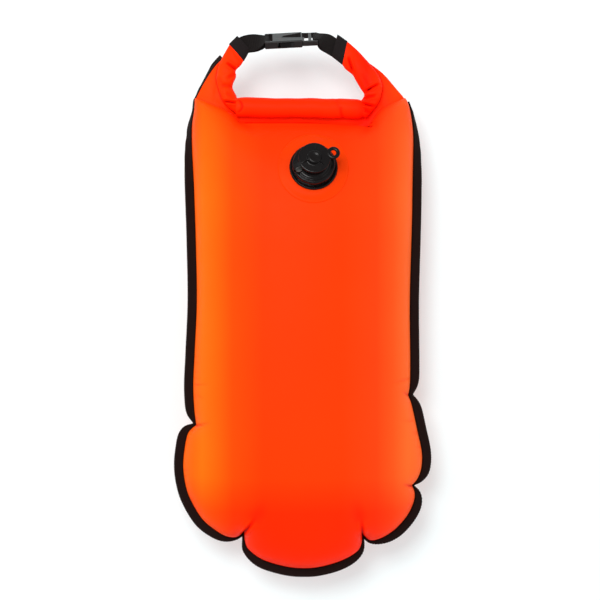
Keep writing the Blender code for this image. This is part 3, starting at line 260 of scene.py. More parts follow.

# %% [markdown]
# ## Materials
# The walls are cloth coated with a soft plastic film. It is a bright orange with a satin skin, and the
# weave just shows through it. Its yellower flanks, its redder ends and the redder handle are painted
# light, laid on the object as ramps across and along it. A procedural material keeps this detail sharp
# at any distance, which a painted picture wouldn't. Deep folds get painted shade, darker than light
# alone makes them here: each point keeps its fold's depth in an attribute, and the material darkens
# the cloth by it.

# %% Helpers for node materials
class Finish:
    """A material with its Principled shader and short ways to add nodes."""

    def __init__(self, name, color, roughness, **values):
        self.material = bpy.data.materials.new(name)
        self.material.use_nodes = True
        self.nodes = self.material.node_tree.nodes
        self.links = self.material.node_tree.links
        self.shader = self.nodes["Principled BSDF"]
        self.shader.inputs["Base Color"].default_value = (*color, 1.0)
        self.shader.inputs["Roughness"].default_value = roughness
        for socket, value in values.items():
            self.shader.inputs[socket.replace("_", " ")].default_value = value

    def node(self, kind, **settings):
        """A new node with its settings; a setting that names an input sets that input's value."""
        made = self.nodes.new(kind)
        for key, value in settings.items():
            if key in made.inputs:
                made.inputs[key].default_value = value
            else:
                setattr(made, key, value)
        return made

    def link(self, source, output, target, socket):
        """Joins an output to an input."""
        self.links.new(source.outputs[output], target.inputs[socket])

    def coordinates(self, kind="Object"):
        """The texture coordinates node and the name of the output in use."""
        return self.node("ShaderNodeTexCoord"), kind

    def noise(self, scale, detail=3.0, kind="Object", stretch=(1, 1, 1)):
        """A noise texture on the piece's own coordinates."""
        source, output = self.coordinates(kind)
        mapping = self.node("ShaderNodeMapping")
        mapping.inputs["Scale"].default_value = stretch
        texture = self.node("ShaderNodeTexNoise", Scale=scale, Detail=detail)
        self.link(source, output, mapping, "Vector")
        self.link(mapping, "Vector", texture, "Vector")
        return texture

    def bands(self, scale, direction, kind="Object"):
        """A wave texture of plain bands."""
        source, output = self.coordinates(kind)
        texture = self.node("ShaderNodeTexWave", bands_direction=direction, Scale=scale)
        self.link(source, output, texture, "Vector")
        return texture

    def ramp(self, source, output, stops):
        """A colour ramp over a value: stops are (place, colour)."""
        made = self.node("ShaderNodeValToRGB")
        elements = made.color_ramp.elements
        while len(elements) < len(stops):
            elements.new(0.5)
        for element, (place, color) in zip(elements, stops):
            element.position = place
            element.color = (*color, 1.0)
        self.link(source, output, made, "Fac")
        return made

    def math(self, operation, a, b):
        """A maths node on two outputs or numbers."""
        made = self.node("ShaderNodeMath", operation=operation)
        for slot, value in enumerate((a, b)):
            if isinstance(value, tuple):
                self.links.new(value[0].outputs[value[1]], made.inputs[slot])
            else:
                made.inputs[slot].default_value = value
        return made

    def drifting_gloss(self, scale, roughness, less, more):
        """Lets the roughness wander with a noise, a little under and over its middle value."""
        gloss = self.node("ShaderNodeMapRange")
        gloss.inputs["To Min"].default_value = roughness - less
        gloss.inputs["To Max"].default_value = roughness + more
        self.link(self.noise(scale, 4.0), "Fac", gloss, "Value")
        self.link(gloss, "Result", self.shader, "Roughness")

    def bump(self, source, output, distance, strength=1.0, under=None):
        """Bump from a value, on top of another bump if one is given."""
        made = self.node("ShaderNodeBump", Strength=strength, Distance=distance)
        self.link(source, output, made, "Height")
        if under is not None:
            self.link(under, "Normal", made, "Normal")
        self.link(made, "Normal", self.shader, "Normal")
        return made


# %% The walls' cloth, with painted light and shade
CLOTH_MIDDLE = (1.0, 0.038, 0.0005)
# Painted light: the yellower flanks and redder ends of the walls, and the redder handle with its yellower
# sides, are ramps in the cloth's colour over the object's X and Y.
WALL_COLOUR_AND_PAINTED_LIGHT = [(-0.128, (1.0, 0.110, 0.002)), (-0.116, (1.0, 0.135, 0.003)), (-0.102, (1.0, 0.108, 0.002)),
              (-0.080, (1.0, 0.058, 0.001)), (-0.045, CLOTH_MIDDLE), (0.045, (1.0, 0.038, 0.001)),
              (0.085, (1.0, 0.048, 0.004)), (0.104, (1.0, 0.078, 0.009)), (0.122, (1.0, 0.130, 0.020))]
WALL_ENDS_PAINTED_SHADE = [(-0.240, 0.55), (-0.200, 1.0), (0.120, 1.0), (0.190, 0.82), (0.235, 0.62)]
HANDLE_COLOUR_AND_PAINTED_LIGHT = [(-0.110, (1.0, 0.052, 0.001)), (-0.085, (1.0, 0.026, 0.0005)), (-0.060, (1.0, 0.022, 0.0005)),
                (0.050, (1.0, 0.022, 0.0005)), (0.075, (1.0, 0.011, 0.0005)), (0.110, (1.0, 0.042, 0.002))]
CLOTH_REACH = 0.14
CLOTH_LENGTH_REACH = 0.26
WEAVE_PITCH = 0.0009


def ramp_along(finish, axis, reach, stops):
    """A colour ramp over one axis of the object, with its stops given in metres."""
    source, output = finish.coordinates()
    split = finish.node("ShaderNodeSeparateXYZ")
    finish.link(source, output, split, "Vector")
    place = finish.node("ShaderNodeMapRange")
    place.inputs["From Min"].default_value = -reach
    place.inputs["From Max"].default_value = reach
    finish.link(split, axis, place, "Value")
    return finish.ramp(place, "Result", [((where + reach) / (2 * reach), color) for where, color in stops])


def multiplied(finish, first, *others):
    """The output socket of a chain of colour nodes that are multiplied with each other."""
    socket = first.outputs["Color"]
    for other in others:
        mix = finish.node("ShaderNodeMix", data_type="RGBA", blend_type="MULTIPLY")
        mix.inputs[0].default_value = 1.0
        finish.links.new(socket, mix.inputs[6])
        finish.links.new(other.outputs["Color"], mix.inputs[7])
        socket = mix.outputs[2]
    return socket


def coated_cloth(name, painted_light_tones, ends=(), roughness=0.48):
    """Satin film over a plain weave: painted light as ramps across and along the bag, painted shade in folds, a
    fine woven bump.
    """
    finish = Finish(name, CLOTH_MIDDLE, roughness, Specular_IOR_Level=0.03)
    tone = ramp_along(finish, "X", CLOTH_REACH, painted_light_tones)
    cloud = finish.ramp(finish.noise(9.0, 2.0), "Fac", [(0.3, (0.93, 0.93, 0.93)), (0.7, (1.0, 1.0, 1.0))])
    # Painted shade: the fold attribute darkens the cloth's colour in creases, gathers and beside the arms.
    depth = finish.node("ShaderNodeAttribute", attribute_name="fold")
    shadow = finish.ramp(depth, "Fac", [(0.0, (1.0, 1.0, 1.0)), (0.25, (1.0, 0.74, 0.70)),
                                        (0.6, (0.84, 0.30, 0.22)),
                                        (1.0, (0.34, 0.06, 0.05))])
    layers = [cloud, shadow]
    if ends:
        layers.append(ramp_along(finish, "Y", CLOTH_LENGTH_REACH,
                                 [(y, (1.0, share, share)) for y, share in ends]))
    finish.links.new(multiplied(finish, tone, *layers), finish.shader.inputs["Base Color"])
    finish.drifting_gloss(60.0, roughness, 0.05, 0.07)
    warp = finish.bands(2 * math.pi / (20 * WEAVE_PITCH), "X")
    weft = finish.bands(2 * math.pi / (20 * WEAVE_PITCH), "Y")
    weave = finish.math("ADD", (warp, "Fac"), (weft, "Fac"))
    fine = finish.bump(weave, "Value", 0.00002, 0.6)
    finish.bump(finish.noise(24.0, 3.0), "Fac", 0.0006, 0.35, under=fine)
    return finish.material


CLOTH = coated_cloth("coated cloth with painted light and shade", WALL_COLOUR_AND_PAINTED_LIGHT, WALL_ENDS_PAINTED_SHADE)
HANDLE_CLOTH = coated_cloth("handle cloth with painted light and shade", HANDLE_COLOUR_AND_PAINTED_LIGHT)
print("cloth ready")


# %% [markdown]
# ## Floor and light
# The photograph has a white ground with a soft shadow below and to the right. The strongest lamp hangs
# nearly overhead, a little toward the handle and to the left. Two weak lamps and a bright world keep the
# shadow pale. The floor's own colour, part of it plain white where it is seen directly, makes the ground.

# %% Floor, lamps and world
FLOOR_WHITE_SHARE = 0.34
FLOOR_REACH = 6.0
FLOOR_DROP = 0.0002
LAMP_AIM = (0, 0, 0.05)
WORLD_STRENGTH = 0.72


def make_floor():
    """A pale floor that is far larger than the view; seen directly, part of it is plain white."""
    finish = Finish("pale floor", (0.79, 0.91, 0.92), 0.9, Specular_IOR_Level=0.1)
    paths = finish.node("ShaderNodeLightPath")
    seen = finish.math("MAXIMUM", (paths, "Is Camera Ray"), (paths, "Is Glossy Ray"))
    seen = finish.math("MAXIMUM", (seen, "Value"), (paths, "Is Transmission Ray"))
    share = finish.math("MULTIPLY", (seen, "Value"), FLOOR_WHITE_SHARE)
    white = finish.node("ShaderNodeEmission", Strength=1.0)
    mix = finish.node("ShaderNodeMixShader")
    finish.link(share, "Value", mix, "Fac")
    finish.links.new(finish.shader.outputs["BSDF"], mix.inputs[1])
    finish.links.new(white.outputs["Emission"], mix.inputs[2])
    finish.link(mix, "Shader", finish.nodes["Material Output"], "Surface")
    far = FLOOR_REACH
    corners = [(-far, -far, 0), (far, -far, 0), (far, far, 0), (-far, far, 0)]
    mesh = bpy.data.meshes.new("floor")
    mesh.from_pydata(corners, [], [(0, 1, 2, 3)])
    mesh.materials.append(finish.material)
    floor = bpy.data.objects.new("floor", mesh)
    floor.location = (0, 0, -FLOOR_DROP)
    bpy.context.scene.collection.objects.link(floor)


def area_lamp(name, place, aim, size, power, color=(1, 1, 1)):
    """A square soft lamp that looks from its place at a point."""
    data = bpy.data.lights.new(name, "AREA")
    data.shape = "SQUARE"
    data.size = size
    data.energy = power
    data.color = color
    lamp = bpy.data.objects.new(name, data)
    lamp.location = place
    away = np.array(place, float) - np.array(aim, float)
    level = math.hypot(away[0], away[1])
    lamp.rotation_euler = (math.atan2(level, away[2]), 0, math.atan2(away[0], -away[1]))
    bpy.context.scene.collection.objects.link(lamp)


make_floor()
area_lamp("key lamp", (-0.55, 1.0, 2.9), LAMP_AIM, 1.1, 58)
area_lamp("left lamp", (-2.2, 0.6, 1.5), LAMP_AIM, 1.6, 12, (1.0, 0.98, 0.95))
area_lamp("fill lamp", (2.2, -0.6, 1.6), LAMP_AIM, 1.8, 12, (1.0, 0.98, 0.98))
world = bpy.data.worlds.new("studio")
world.use_nodes = True
world.node_tree.nodes["Background"].inputs["Color"].default_value = (1.0, 1.0, 1.0, 1.0)
world.node_tree.nodes["Background"].inputs["Strength"].default_value = WORLD_STRENGTH
bpy.context.scene.world = world
bpy.context.scene.view_settings.view_transform = "Standard"


# %% [markdown]
# ## The weld line
# Both walls are welded together along one line. On the real bag it runs straight down the sides; the
# inflated lobes at the bottom meet in notches, where the seam is pulled in. The line is a chain of
# smooth runs, and a run ends wherever there is a corner.

# %% Runs of the weld line
HALF_WIDTH = 0.127
LENGTH = 0.555
SHOULDER_Y = 0.244
WELD_RUN_SHARES = [
    [(0.953, 0.002), (0.990, 0.021), (1.020, 0.070), (1.022, 0.133), (1.015, 0.261), (0.995, 0.431),
     (0.999, 0.558), (0.995, 0.611), (0.980, 0.633)],
    [(0.980, 0.633), (1.013, 0.654), (1.064, 0.707), (1.106, 0.754), (1.101, 0.788), (1.064, 0.811),
     (1.013, 0.824)],
    [(1.013, 0.824), (1.041, 0.841), (1.027, 0.862), (0.971, 0.888), (0.869, 0.915), (0.748, 0.934),
     (0.627, 0.941), (0.553, 0.926)],
    [(0.553, 0.926), (0.544, 0.951), (0.488, 0.968), (0.348, 0.985), (0.163, 0.997), (0.005, 1.000),
     (-0.163, 0.996), (-0.367, 0.982), (-0.493, 0.962), (-0.530, 0.947), (-0.543, 0.922)],
    [(-0.543, 0.922), (-0.609, 0.934), (-0.711, 0.932), (-0.822, 0.917), (-0.925, 0.897),
     (-1.008, 0.868), (-1.073, 0.834), (-1.106, 0.788), (-1.092, 0.745), (-1.059, 0.713),
     (-0.985, 0.696)],
    [(-0.985, 0.696), (-1.003, 0.664), (-1.013, 0.611), (-0.999, 0.537), (-0.980, 0.431),
     (-0.990, 0.303), (-1.008, 0.176), (-1.022, 0.070), (-1.003, 0.027), (-0.999, 0.002)],
    [(-0.999, 0.002), (-0.841, 0.016), (-0.670, 0.033), (-0.575, 0.054)],
    [(-0.575, 0.054), (-0.023, 0.053), (0.609, 0.062)],
    [(0.609, 0.062), (0.700, 0.034), (0.776, 0.020), (0.953, 0.002)],
]
TAPED_RUNS = 6
WELD_STEP = 0.0018
COARSE_STEP = 0.004


def chamber_places(shares):
    """X and Y of places given as shares of half the width and of the length below the shoulder."""
    shares = np.array(shares)
    return np.column_stack([shares[:, 0] * HALF_WIDTH, SHOULDER_Y - shares[:, 1] * LENGTH])


def weld_line(step):
    """The whole line in about equal steps, with a point at every corner, and the run of each point."""
    points = []
    runs = []
    for number, shares in enumerate(WELD_RUN_SHARES):
        dense = smooth_curve(chamber_places(shares), 400)
        length = np.sum(np.linalg.norm(np.diff(dense, axis=0), axis=1))
        curve = even_points(dense, max(3, round(length / step) + 1))[:-1]
        points.append(curve)
        runs.append(np.full(len(curve), number))
    return np.vstack(points), np.concatenate(runs)


WELD, WELD_RUN = weld_line(WELD_STEP)
COARSE, _ = weld_line(COARSE_STEP)
NOTCHES = np.array([chamber_places(shares)[0] for shares in WELD_RUN_SHARES[1:TAPED_RUNS]])
WELD_REACH = walked(WELD)
print("weld points", len(WELD), "length in m", round(float(WELD_REACH[-1]), 3))


def loop_normals(points, rounds):
    """Unit normals out of a clockwise loop, averaged over their neighbours."""
    ahead = np.roll(points, -1, axis=0) - np.roll(points, 1, axis=0)
    normals = unit(np.column_stack([-ahead[:, 1], ahead[:, 0]]))
    for _ in range(rounds):
        normals = unit(normals + np.roll(normals, 1, axis=0) + np.roll(normals, -1, axis=0))
    return normals


# %% [markdown]
# ## The inflated walls
# Air pushes both walls out until the cloth is tight. Cloth simulation can do this, but its folds fall
# where the solver puts them. A formula is steadier: each edge of the weld line pulls the wall down, more
# the closer it is, and the height follows from the sum. It gives a half ellipse across a long bag, and
# it makes the valleys between the lobes by itself.

# %% The height of the wall over the seam
FRONT_RISE = 0.076
VALVE_XY = VALVE_ORIGIN[:2]
FLANGE_RADIUS = 0.0277
PATCH_RADIUS = 0.0410
WEIGHT_BATCH = 4000


def edge_weight(points):
    """Mean value weight of the weld line from a point: the sum of (1/a + 1/b) tan(angle / 2) over its edges."""
    total = np.empty(len(points))
    for first in range(0, len(points), WEIGHT_BATCH):
        part = points[first:first + WEIGHT_BATCH]
        start = COARSE[None] - part[:, None]
        end = np.roll(COARSE, -1, axis=0)[None] - part[:, None]
        reach_a = np.maximum(np.linalg.norm(start, axis=2), 1e-9)
        reach_b = np.maximum(np.linalg.norm(end, axis=2), 1e-9)
        cross = end[..., 0] * start[..., 1] - end[..., 1] * start[..., 0]
        dot = np.sum(start * end, axis=2)
        half_tangent = np.tan(np.arctan2(cross, dot) / 2)
        total[first:first + WEIGHT_BATCH] = np.sum((1 / reach_a + 1 / reach_b) * half_tangent, axis=1)
    return total


def pillow_lift(points):
    """Height over the seam: the rise times the square root of 4 / (weight x half width), and 0 outside."""
    weight = edge_weight(points)
    inside = weight > 2 / HALF_WIDTH
    return np.where(inside, FRONT_RISE * np.sqrt(4 / (np.where(inside, weight, 1) * HALF_WIDTH)), 0)


def crease(points, start, end, width, depth):
    """A valley along a straight line with a low ridge on each side, deepest at its start and fading out."""
    span = end - start
    length = np.linalg.norm(span)
    along = np.sum((points - start) * span, axis=1) / length ** 2
    away = np.linalg.norm(points - (start + np.clip(along, 0, 1)[:, None] * span), axis=1)
    fade = 1 - smooth_step(along)
    valley = np.exp(-(away / width) ** 2)
    ridge = np.exp(-((away - 1.9 * width) / (0.9 * width)) ** 2)
    return depth * fade * (0.35 * ridge - valley)


# %% Creases seen in the photograph
CREASE_START_SHARE = 0.3
CREASE_PIXELS = [
    ((244, 531), (257.5, 513), 0.0019, 0.0085, 0.010),
    ((256, 514), (268, 496), 0.0080, 0.0020, 0.035),
    ((362, 533), (360.3, 513), 0.0018, 0.0080, 0.010),
    ((359, 514), (354, 494), 0.0080, 0.0020, 0.035),
    ((197, 425), (214, 420), 0.0016, 0.0040, 0.012),
    ((411, 485), (400, 481.5), 0.0016, 0.0046, 0.010),
    ((408, 395), (399, 389), 0.0018, 0.0032, 0.010),
    ((197, 384), (214, 383), 0.0015, 0.0014, 0.012),
    ((409, 378), (386, 383), 0.0015, 0.0017, 0.012),
    ((412, 420), (396, 419), 0.0014, 0.0015, 0.012),
    ((196, 395), (210, 398), 0.0016, 0.0011, 0.012),
    ((244, 124), (262, 140), 0.0060, 0.0020, 0.010),
    ((371, 126), (356, 142), 0.0060, 0.0020, 0.010),
    ((246, 123.4), (420, 122.8), 0.0012, 0.0040, 0.006),
    ((371, 123.6), (200, 123.2), 0.0012, 0.0034, 0.006),
    ((371, 128.2), (354, 123.0), 0.0012, 0.0040, 0.006),
]


def creases(points):
    """All the creases of the front wall together."""
    total = np.zeros(len(points))
    for start, end, width, depth, rise in CREASE_PIXELS:
        ends = photo_places(start, rise * CREASE_START_SHARE), photo_places(end, rise)
        total += crease(points, *ends, width, depth)
    return total


PUCKER_FROM = 0.30
PUCKER_TO = WELD_REACH[np.argmax(WELD_RUN == TAPED_RUNS - 1)] + 0.16
PUCKER_FADE = 0.12
SHADE_STROKE_PITCH = 0.0092
print("lobes run from", PUCKER_FROM, "to", round(float(PUCKER_TO), 3), "along the weld")


def beside_lobes(reach):
    """1 along the lobes' part of the weld line, fading to 0 at both of its ends."""
    return smooth_step((reach - PUCKER_FROM) / PUCKER_FADE) * smooth_step((PUCKER_TO - reach) / PUCKER_FADE)


def puckers(reach, depth, seed):
    """Small gathers beside the seam: waves along it that die out two or three centimetres inward."""
    strong = 0.35 + 0.65 * beside_lobes(reach)
    fine = 0.0010 * np.clip(waves(reach, seed + 1, 0.022, 4) + 0.35, 0, 1) * np.exp(-depth / 0.0055)
    broad = 0.0017 * waves(reach, seed, 0.038, 5) * np.exp(-depth / 0.013)
    return strong * (fine + broad) * smooth_step(depth / 0.0030)


def pucker_shade(reach, depth):
    """Painted shade beside the seam for the short gathers: narrow dark strokes a few millimetres in, unevenly
    spaced.
    """
    turn = 2 * np.pi * reach / SHADE_STROKE_PITCH + 2.2 * waves(reach, 9, 0.05, 4)
    stroke = np.clip((np.cos(turn) - 0.66) / 0.34, 0, 1)
    uneven = np.clip(0.55 + 0.6 * waves(reach, 17, 0.045, 4), 0, 1)
    return (0.42 * beside_lobes(reach) * stroke * uneven
            * smooth_step(depth / 0.001) * np.exp(-(depth / 0.0058) ** 2))


# %% [markdown]
# A round wall needs a grid that starts at the weld line and ends on a line down the middle of the bag,
# the spine. Rings lie closer together near the weld, where the wall is steep. Both sides of the bag end
# on the same spine points, so the surface is closed in the middle. A flat sheet in the seam's plane closes
# each wall to a solid body, and a well closes the hole under the valve in the front one. Both are hidden.

# %% The plan of the walls
SPINE_HIGH_Y = 0.0775
SPINE_LOW_Y = -0.1445
SPINE_COUNT = 121
WALL_RINGS = 76
RING_CROWDING = 1.6
SHEET_RAISE = 0.00115
RIM_WIDTH = 0.003
NORMALS = loop_normals(WELD, 2)


def tape_lean(v):
    """How far the seam is turned on edge at a row of the photograph: flat below 180, nearly upright at 106."""
    return np.radians(np.interp(v, [95, 106, 118, 130, 145, 160, 180], [80, 77, 70, 58, 40, 20, 0]))


def photo_row(y):
    """The photograph's row of a point of the seam plane."""
    return PHOTO_CENTRE[1] - np.asarray(y) / PIXEL


WELD_LEAN = tape_lean(photo_row(WELD[:, 1]))


def spine_numbers():
    """For each weld point, the number of the spine point that its line ends on."""
    y = np.clip(WELD[:, 1], SPINE_LOW_Y, SPINE_HIGH_Y)
    return np.rint((y - SPINE_LOW_Y) / (SPINE_HIGH_Y - SPINE_LOW_Y) * (SPINE_COUNT - 1)).astype(int)


def wall_plan(bulge_seed):
    """X and Y of the rings: weld + t (spine - weld), gathered a little near the weld, and each depth."""
    spine = np.column_stack([np.zeros(SPINE_COUNT), np.linspace(SPINE_LOW_Y, SPINE_HIGH_Y, SPINE_COUNT)])
    ends = spine[spine_numbers()]
    t = (np.arange(WALL_RINGS) / WALL_RINGS) ** RING_CROWDING
    rays = ends - WELD
    depth = t[:, None] * np.linalg.norm(rays, axis=1)
    reach = np.broadcast_to(WELD_REACH, depth.shape)
    plan = WELD + t[:, None, None] * rays
    return plan - NORMALS * puckers(reach, depth, bulge_seed)[..., None], depth, spine


def drawn_to_spine(ring, spine_start):
    """Quads, or triangles where two rays end in one place, from a ring's points to the spine's."""
    here = ring + np.arange(len(WELD))
    following = np.roll(here, -1)
    spine = spine_start + spine_numbers()
    after = np.roll(spine, -1)
    same = spine == after
    return [np.column_stack([here, following, after, spine])[~same],
            np.column_stack([here, following, spine])[same]]


def wall_faces():
    """The rings, the last ring drawn to the spine, and the flat sheet that closes the wall."""
    count = len(WELD)
    high_spine = (WALL_RINGS + 1) * count
    dome = [grid_faces(WALL_RINGS + 1, count, close_columns=True),
            *drawn_to_spine(WALL_RINGS * count, high_spine)]
    closing = drawn_to_spine(0, high_spine + SPINE_COUNT)
    return [face[:, ::-1] for face in dome] + closing


# %% The front wall
def valve_plane():
    """Height and slope of the front wall where the valve sits, from five places."""
    span = FLANGE_RADIUS / 2
    steps = np.array([(0, 0), (span, 0), (-span, 0), (0, span), (0, -span)])
    lift = pillow_lift(VALVE_XY + steps)
    return lift[0], np.array([lift[1] - lift[2], lift[3] - lift[4]]) / (2 * span)


def front_lift(points):
    """The pillow's lift, drawn flat round the valve that is welded to it, with the creases laid over it."""
    lift = pillow_lift(points)
    centre, slope = valve_plane()
    flat = centre + (points - VALVE_XY) @ slope
    away = np.linalg.norm(points - VALVE_XY, axis=1)
    ease = smooth_step((away - FLANGE_RADIUS) / (PATCH_RADIUS - FLANGE_RADIUS))
    return flat * (1 - ease) + (lift + creases(points) * np.clip(lift / 0.012, 0, 1)) * ease


def wall_points(side, lift_of, seed):
    """The rim under the tape, the rings, the spine and, level with the rim, the closing sheet's spine."""
    plan, _, spine = wall_plan(seed)
    heights = lift_of(plan.reshape(-1, 2)).reshape(plan.shape[:2])
    heights[0] = 0
    rim = WELD + NORMALS * (RIM_WIDTH * np.cos(WELD_LEAN))[:, None]
    rim_height = SEAM_Z + side * SHEET_RAISE - RIM_WIDTH * np.sin(WELD_LEAN)
    level = SEAM_Z + side * (SHEET_RAISE + heights)
    grid = np.vstack([np.column_stack([rim, rim_height])[None], np.dstack([plan, level])])
    top = np.column_stack([spine, SEAM_Z + side * (SHEET_RAISE + lift_of(spine))])
    closing = np.column_stack([spine, np.full(len(spine), SEAM_Z + side * SHEET_RAISE)])
    return np.vstack([grid.reshape(-1, 3), top, closing])


def with_well(points, faces, depth):
    """Where faces are left out round the valve, a straight well goes down to a flat end."""
    edge = open_edges(faces, len(points))
    slope = valve_plane()[1]
    down = -depth * unit(np.array([-slope[0], -slope[1], 1.0]))
    ring = np.unique(edge)
    low = np.searchsorted(ring, edge) + len(points)
    end = np.full(len(edge), len(points) + len(ring))
    lower = points[ring] + down
    side = np.column_stack([edge[:, 1], edge[:, 0], low[:, 0], low[:, 1]])
    well_end = np.column_stack([low[:, 1], low[:, 0], end])
    return np.vstack([points, lower, lower.mean(axis=0)]), [*faces, side, well_end]


HOLE_RADIUS = 0.0195
WELL_DEPTH = 0.030
CREASE_SHADE_DEPTH = 0.0068
front_points = wall_points(1, front_lift, 11)
# Painted shade: the creases' depth and the gather strokes beside the seam darken the cloth's colour.
front_painted_shade = np.clip(-creases(front_points[:, :2]) / CREASE_SHADE_DEPTH, 0, 1)
ring_depth = wall_plan(11)[1]
front_painted_shade[len(WELD):-2 * SPINE_COUNT] += pucker_shade(np.broadcast_to(WELD_REACH, ring_depth.shape),
                                                       ring_depth).ravel()
near_valve = np.linalg.norm(front_points[:, :2] - VALVE_XY, axis=1) < HOLE_RADIUS
near_valve[-SPINE_COUNT:] = False
front_faces = [face[~near_valve[face].all(axis=1)] for face in wall_faces()]
front_points, front_faces = with_well(front_points, front_faces, WELL_DEPTH)
front_painted_shade = np.concatenate([front_painted_shade, np.zeros(len(front_points) - len(front_painted_shade))])
new_piece("front_wall", front_points, front_faces, CLOTH, "bag", fold=front_painted_shade,
          replaces=["front_panel"])
print("top of the front wall", round(float(front_points[:, 2].max()), 4))


# %% [markdown]
# ## The wall that the bag rests on
# The back has the same pillow form, but the floor presses it flat. A soft maximum of the pillow and the
# floor's level gives the flat spot a rounded edge, as the bag's own air does.

# %% The back wall
REST_BLEND = 0.004


def back_lift(points):
    """The pillow's lift, held back softly where it would pass the floor: a rounded minimum of the two."""
    lift = pillow_lift(points)
    most = SEAM_Z - SHEET_RAISE - 0.0001
    near = np.clip(0.5 + 0.5 * (most - lift) / REST_BLEND, 0, 1)
    return lift * near + most * (1 - near) - REST_BLEND * near * (1 - near)


back_points = wall_points(-1, back_lift, 23)
new_piece("back_wall", back_points, wall_faces(), CLOTH, "bag",
          replaces=["back_panel"])
print("lowest point of the back wall", round(float(back_points[:, 2].min()), 5))

# %% [markdown]
# ## The tape
# A woven tape is folded over the welded edge and sewn on. It is dark, matt and fuzzy beside the satin
# cloth. Its weave follows the tape and not the room, so its material reads a UV map in metres: U runs
# across the tape and V along it.

# %% Woven tape and webbing
TAPE_DARK = (0.0078, 0.0032, 0.0026)
TAPE_WORN = (0.017, 0.0076, 0.0062)


def woven(name, dark, worn, rib_pitch, rib_depth, roughness=0.88):
    """Matt yarn: ribs across the tape, a finer cross thread, a mottled colour and fuzz at the edges."""
    finish = Finish(name, dark, roughness, Specular_IOR_Level=0.06, Sheen_Weight=0.02, Sheen_Roughness=0.6)
    ribs = finish.bands(2 * math.pi / (20 * rib_pitch), "Y", "UV")
    threads = finish.bands(2 * math.pi / (20 * rib_pitch * 0.6), "X", "UV")
    both = finish.math("MULTIPLY", (ribs, "Fac"), (threads, "Fac"))
    mottle = finish.noise(900.0, 3.0, "UV", (1.0, 0.35, 1.0))
    tone = finish.math("MULTIPLY", (mottle, "Fac"), (both, "Value"))
    shade = finish.ramp(tone, "Value", [(0.05, dark), (0.65, worn)])
    finish.link(shade, "Color", finish.shader, "Base Color")
    coarse = finish.bump(both, "Value", rib_depth, 0.8)
    finish.bump(finish.noise(2400.0, 2.0, "UV"), "Fac", rib_depth * 0.7, 0.5, under=coarse)
    return finish.material


TAPE_CLOTH = woven("edge tape", TAPE_DARK, TAPE_WORN, 0.0011, 0.00012)
WEBBING_CLOTH = woven("strap webbing", (0.0072, 0.0056, 0.0054), (0.019, 0.0155, 0.0150), 0.0016, 0.00022)
BAND_CLOTH = woven("band tape", (0.0095, 0.0072, 0.0074), (0.020, 0.0160, 0.0165), 0.0012, 0.00014)

# %% [markdown]
# The tape is one strip: a rounded flat section carried along the weld line, narrower at the notches
# where the seam is gathered. Near the mouth the seam is drawn up on edge, so the section turns there.
# Small waves in its width stand for the teeth of a cut woven edge. The part along the left web is a mesh
# of its own, on no body; on the bag it moves with the handle and the rest doesn't.

# %% The strip round the seam
TAPE_WIDTH = 0.0112
TAPE_INNER = 0.0004
TAPE_HALF = 0.0024
PINCHES = [(0.010, 0.50), (0.012, 0.76), (0.021, 0.95), (0.021, 0.95), (0.010, 0.68)]
TAPE_LEAST = 0.24
TAPE_STEP = 0.0009
TEETH_PITCH = 0.0026
TEETH_DEPTH = 0.00022
WEB_TAPE_LEANS = np.radians([78, 48])
WEB_TAPE_SHARES = [0.5, 1.0]
WEB_TAPE_PIXELS = [(195.5, 98.6), (198.4, 93.4), (205.2, 82), (212.8, 70), (218.3, 63.5), (223.6, 58.8)]


def tape_path():
    """Feet, outward directions, widths and leans along the whole tape, the left web's edge included."""
    taped = np.flatnonzero(WELD_RUN < TAPED_RUNS)[3:]
    away = np.linalg.norm(WELD[taped][:, None] - NOTCHES[None], axis=2)
    reaches, shares = np.array(PINCHES).T
    width = TAPE_WIDTH * np.maximum(1 - np.max(shares * np.exp(-(away / reaches) ** 2), axis=1), TAPE_LEAST)
    edge = photo_places(smooth_curve(WEB_TAPE_PIXELS, 44), 0.0)
    ahead = unit(np.gradient(edge, axis=0))
    out = np.column_stack([-ahead[:, 1], ahead[:, 0]])
    lean = np.linspace(*WEB_TAPE_LEANS, len(edge))
    feet = np.vstack([WELD[taped], edge])
    outs = np.vstack([loop_normals(WELD, 1)[taped], out])
    widths = np.concatenate([width, TAPE_WIDTH * np.linspace(*WEB_TAPE_SHARES, len(edge))])
    leans = np.concatenate([tape_lean(photo_row(WELD[taped][:, 1])), lean])
    thin = smooth_step((np.arange(len(feet)) - len(taped) + 22) / 22)
    start = smooth_step(np.arange(len(feet)) / 14) * 0.75 + 0.25
    return feet, outs, widths * start, leans, 1 - 0.55 * thin


def rounded_strip(width, half, count):
    """A closed section of a flat strip with a full round outer edge: places across it and over its middle."""
    across = np.linspace(0, 1, count)
    flat = np.column_stack([across * (width - half), np.full(count, half)])
    turn = np.linspace(np.pi / 2, -np.pi / 2, 9)[1:-1]
    nose = np.column_stack([width - half + half * np.cos(turn), half * np.sin(turn)])
    return np.vstack([[(0, half * 0.5)], flat, nose, flat[::-1] * (1, -1), [(0, -half * 0.5)]])


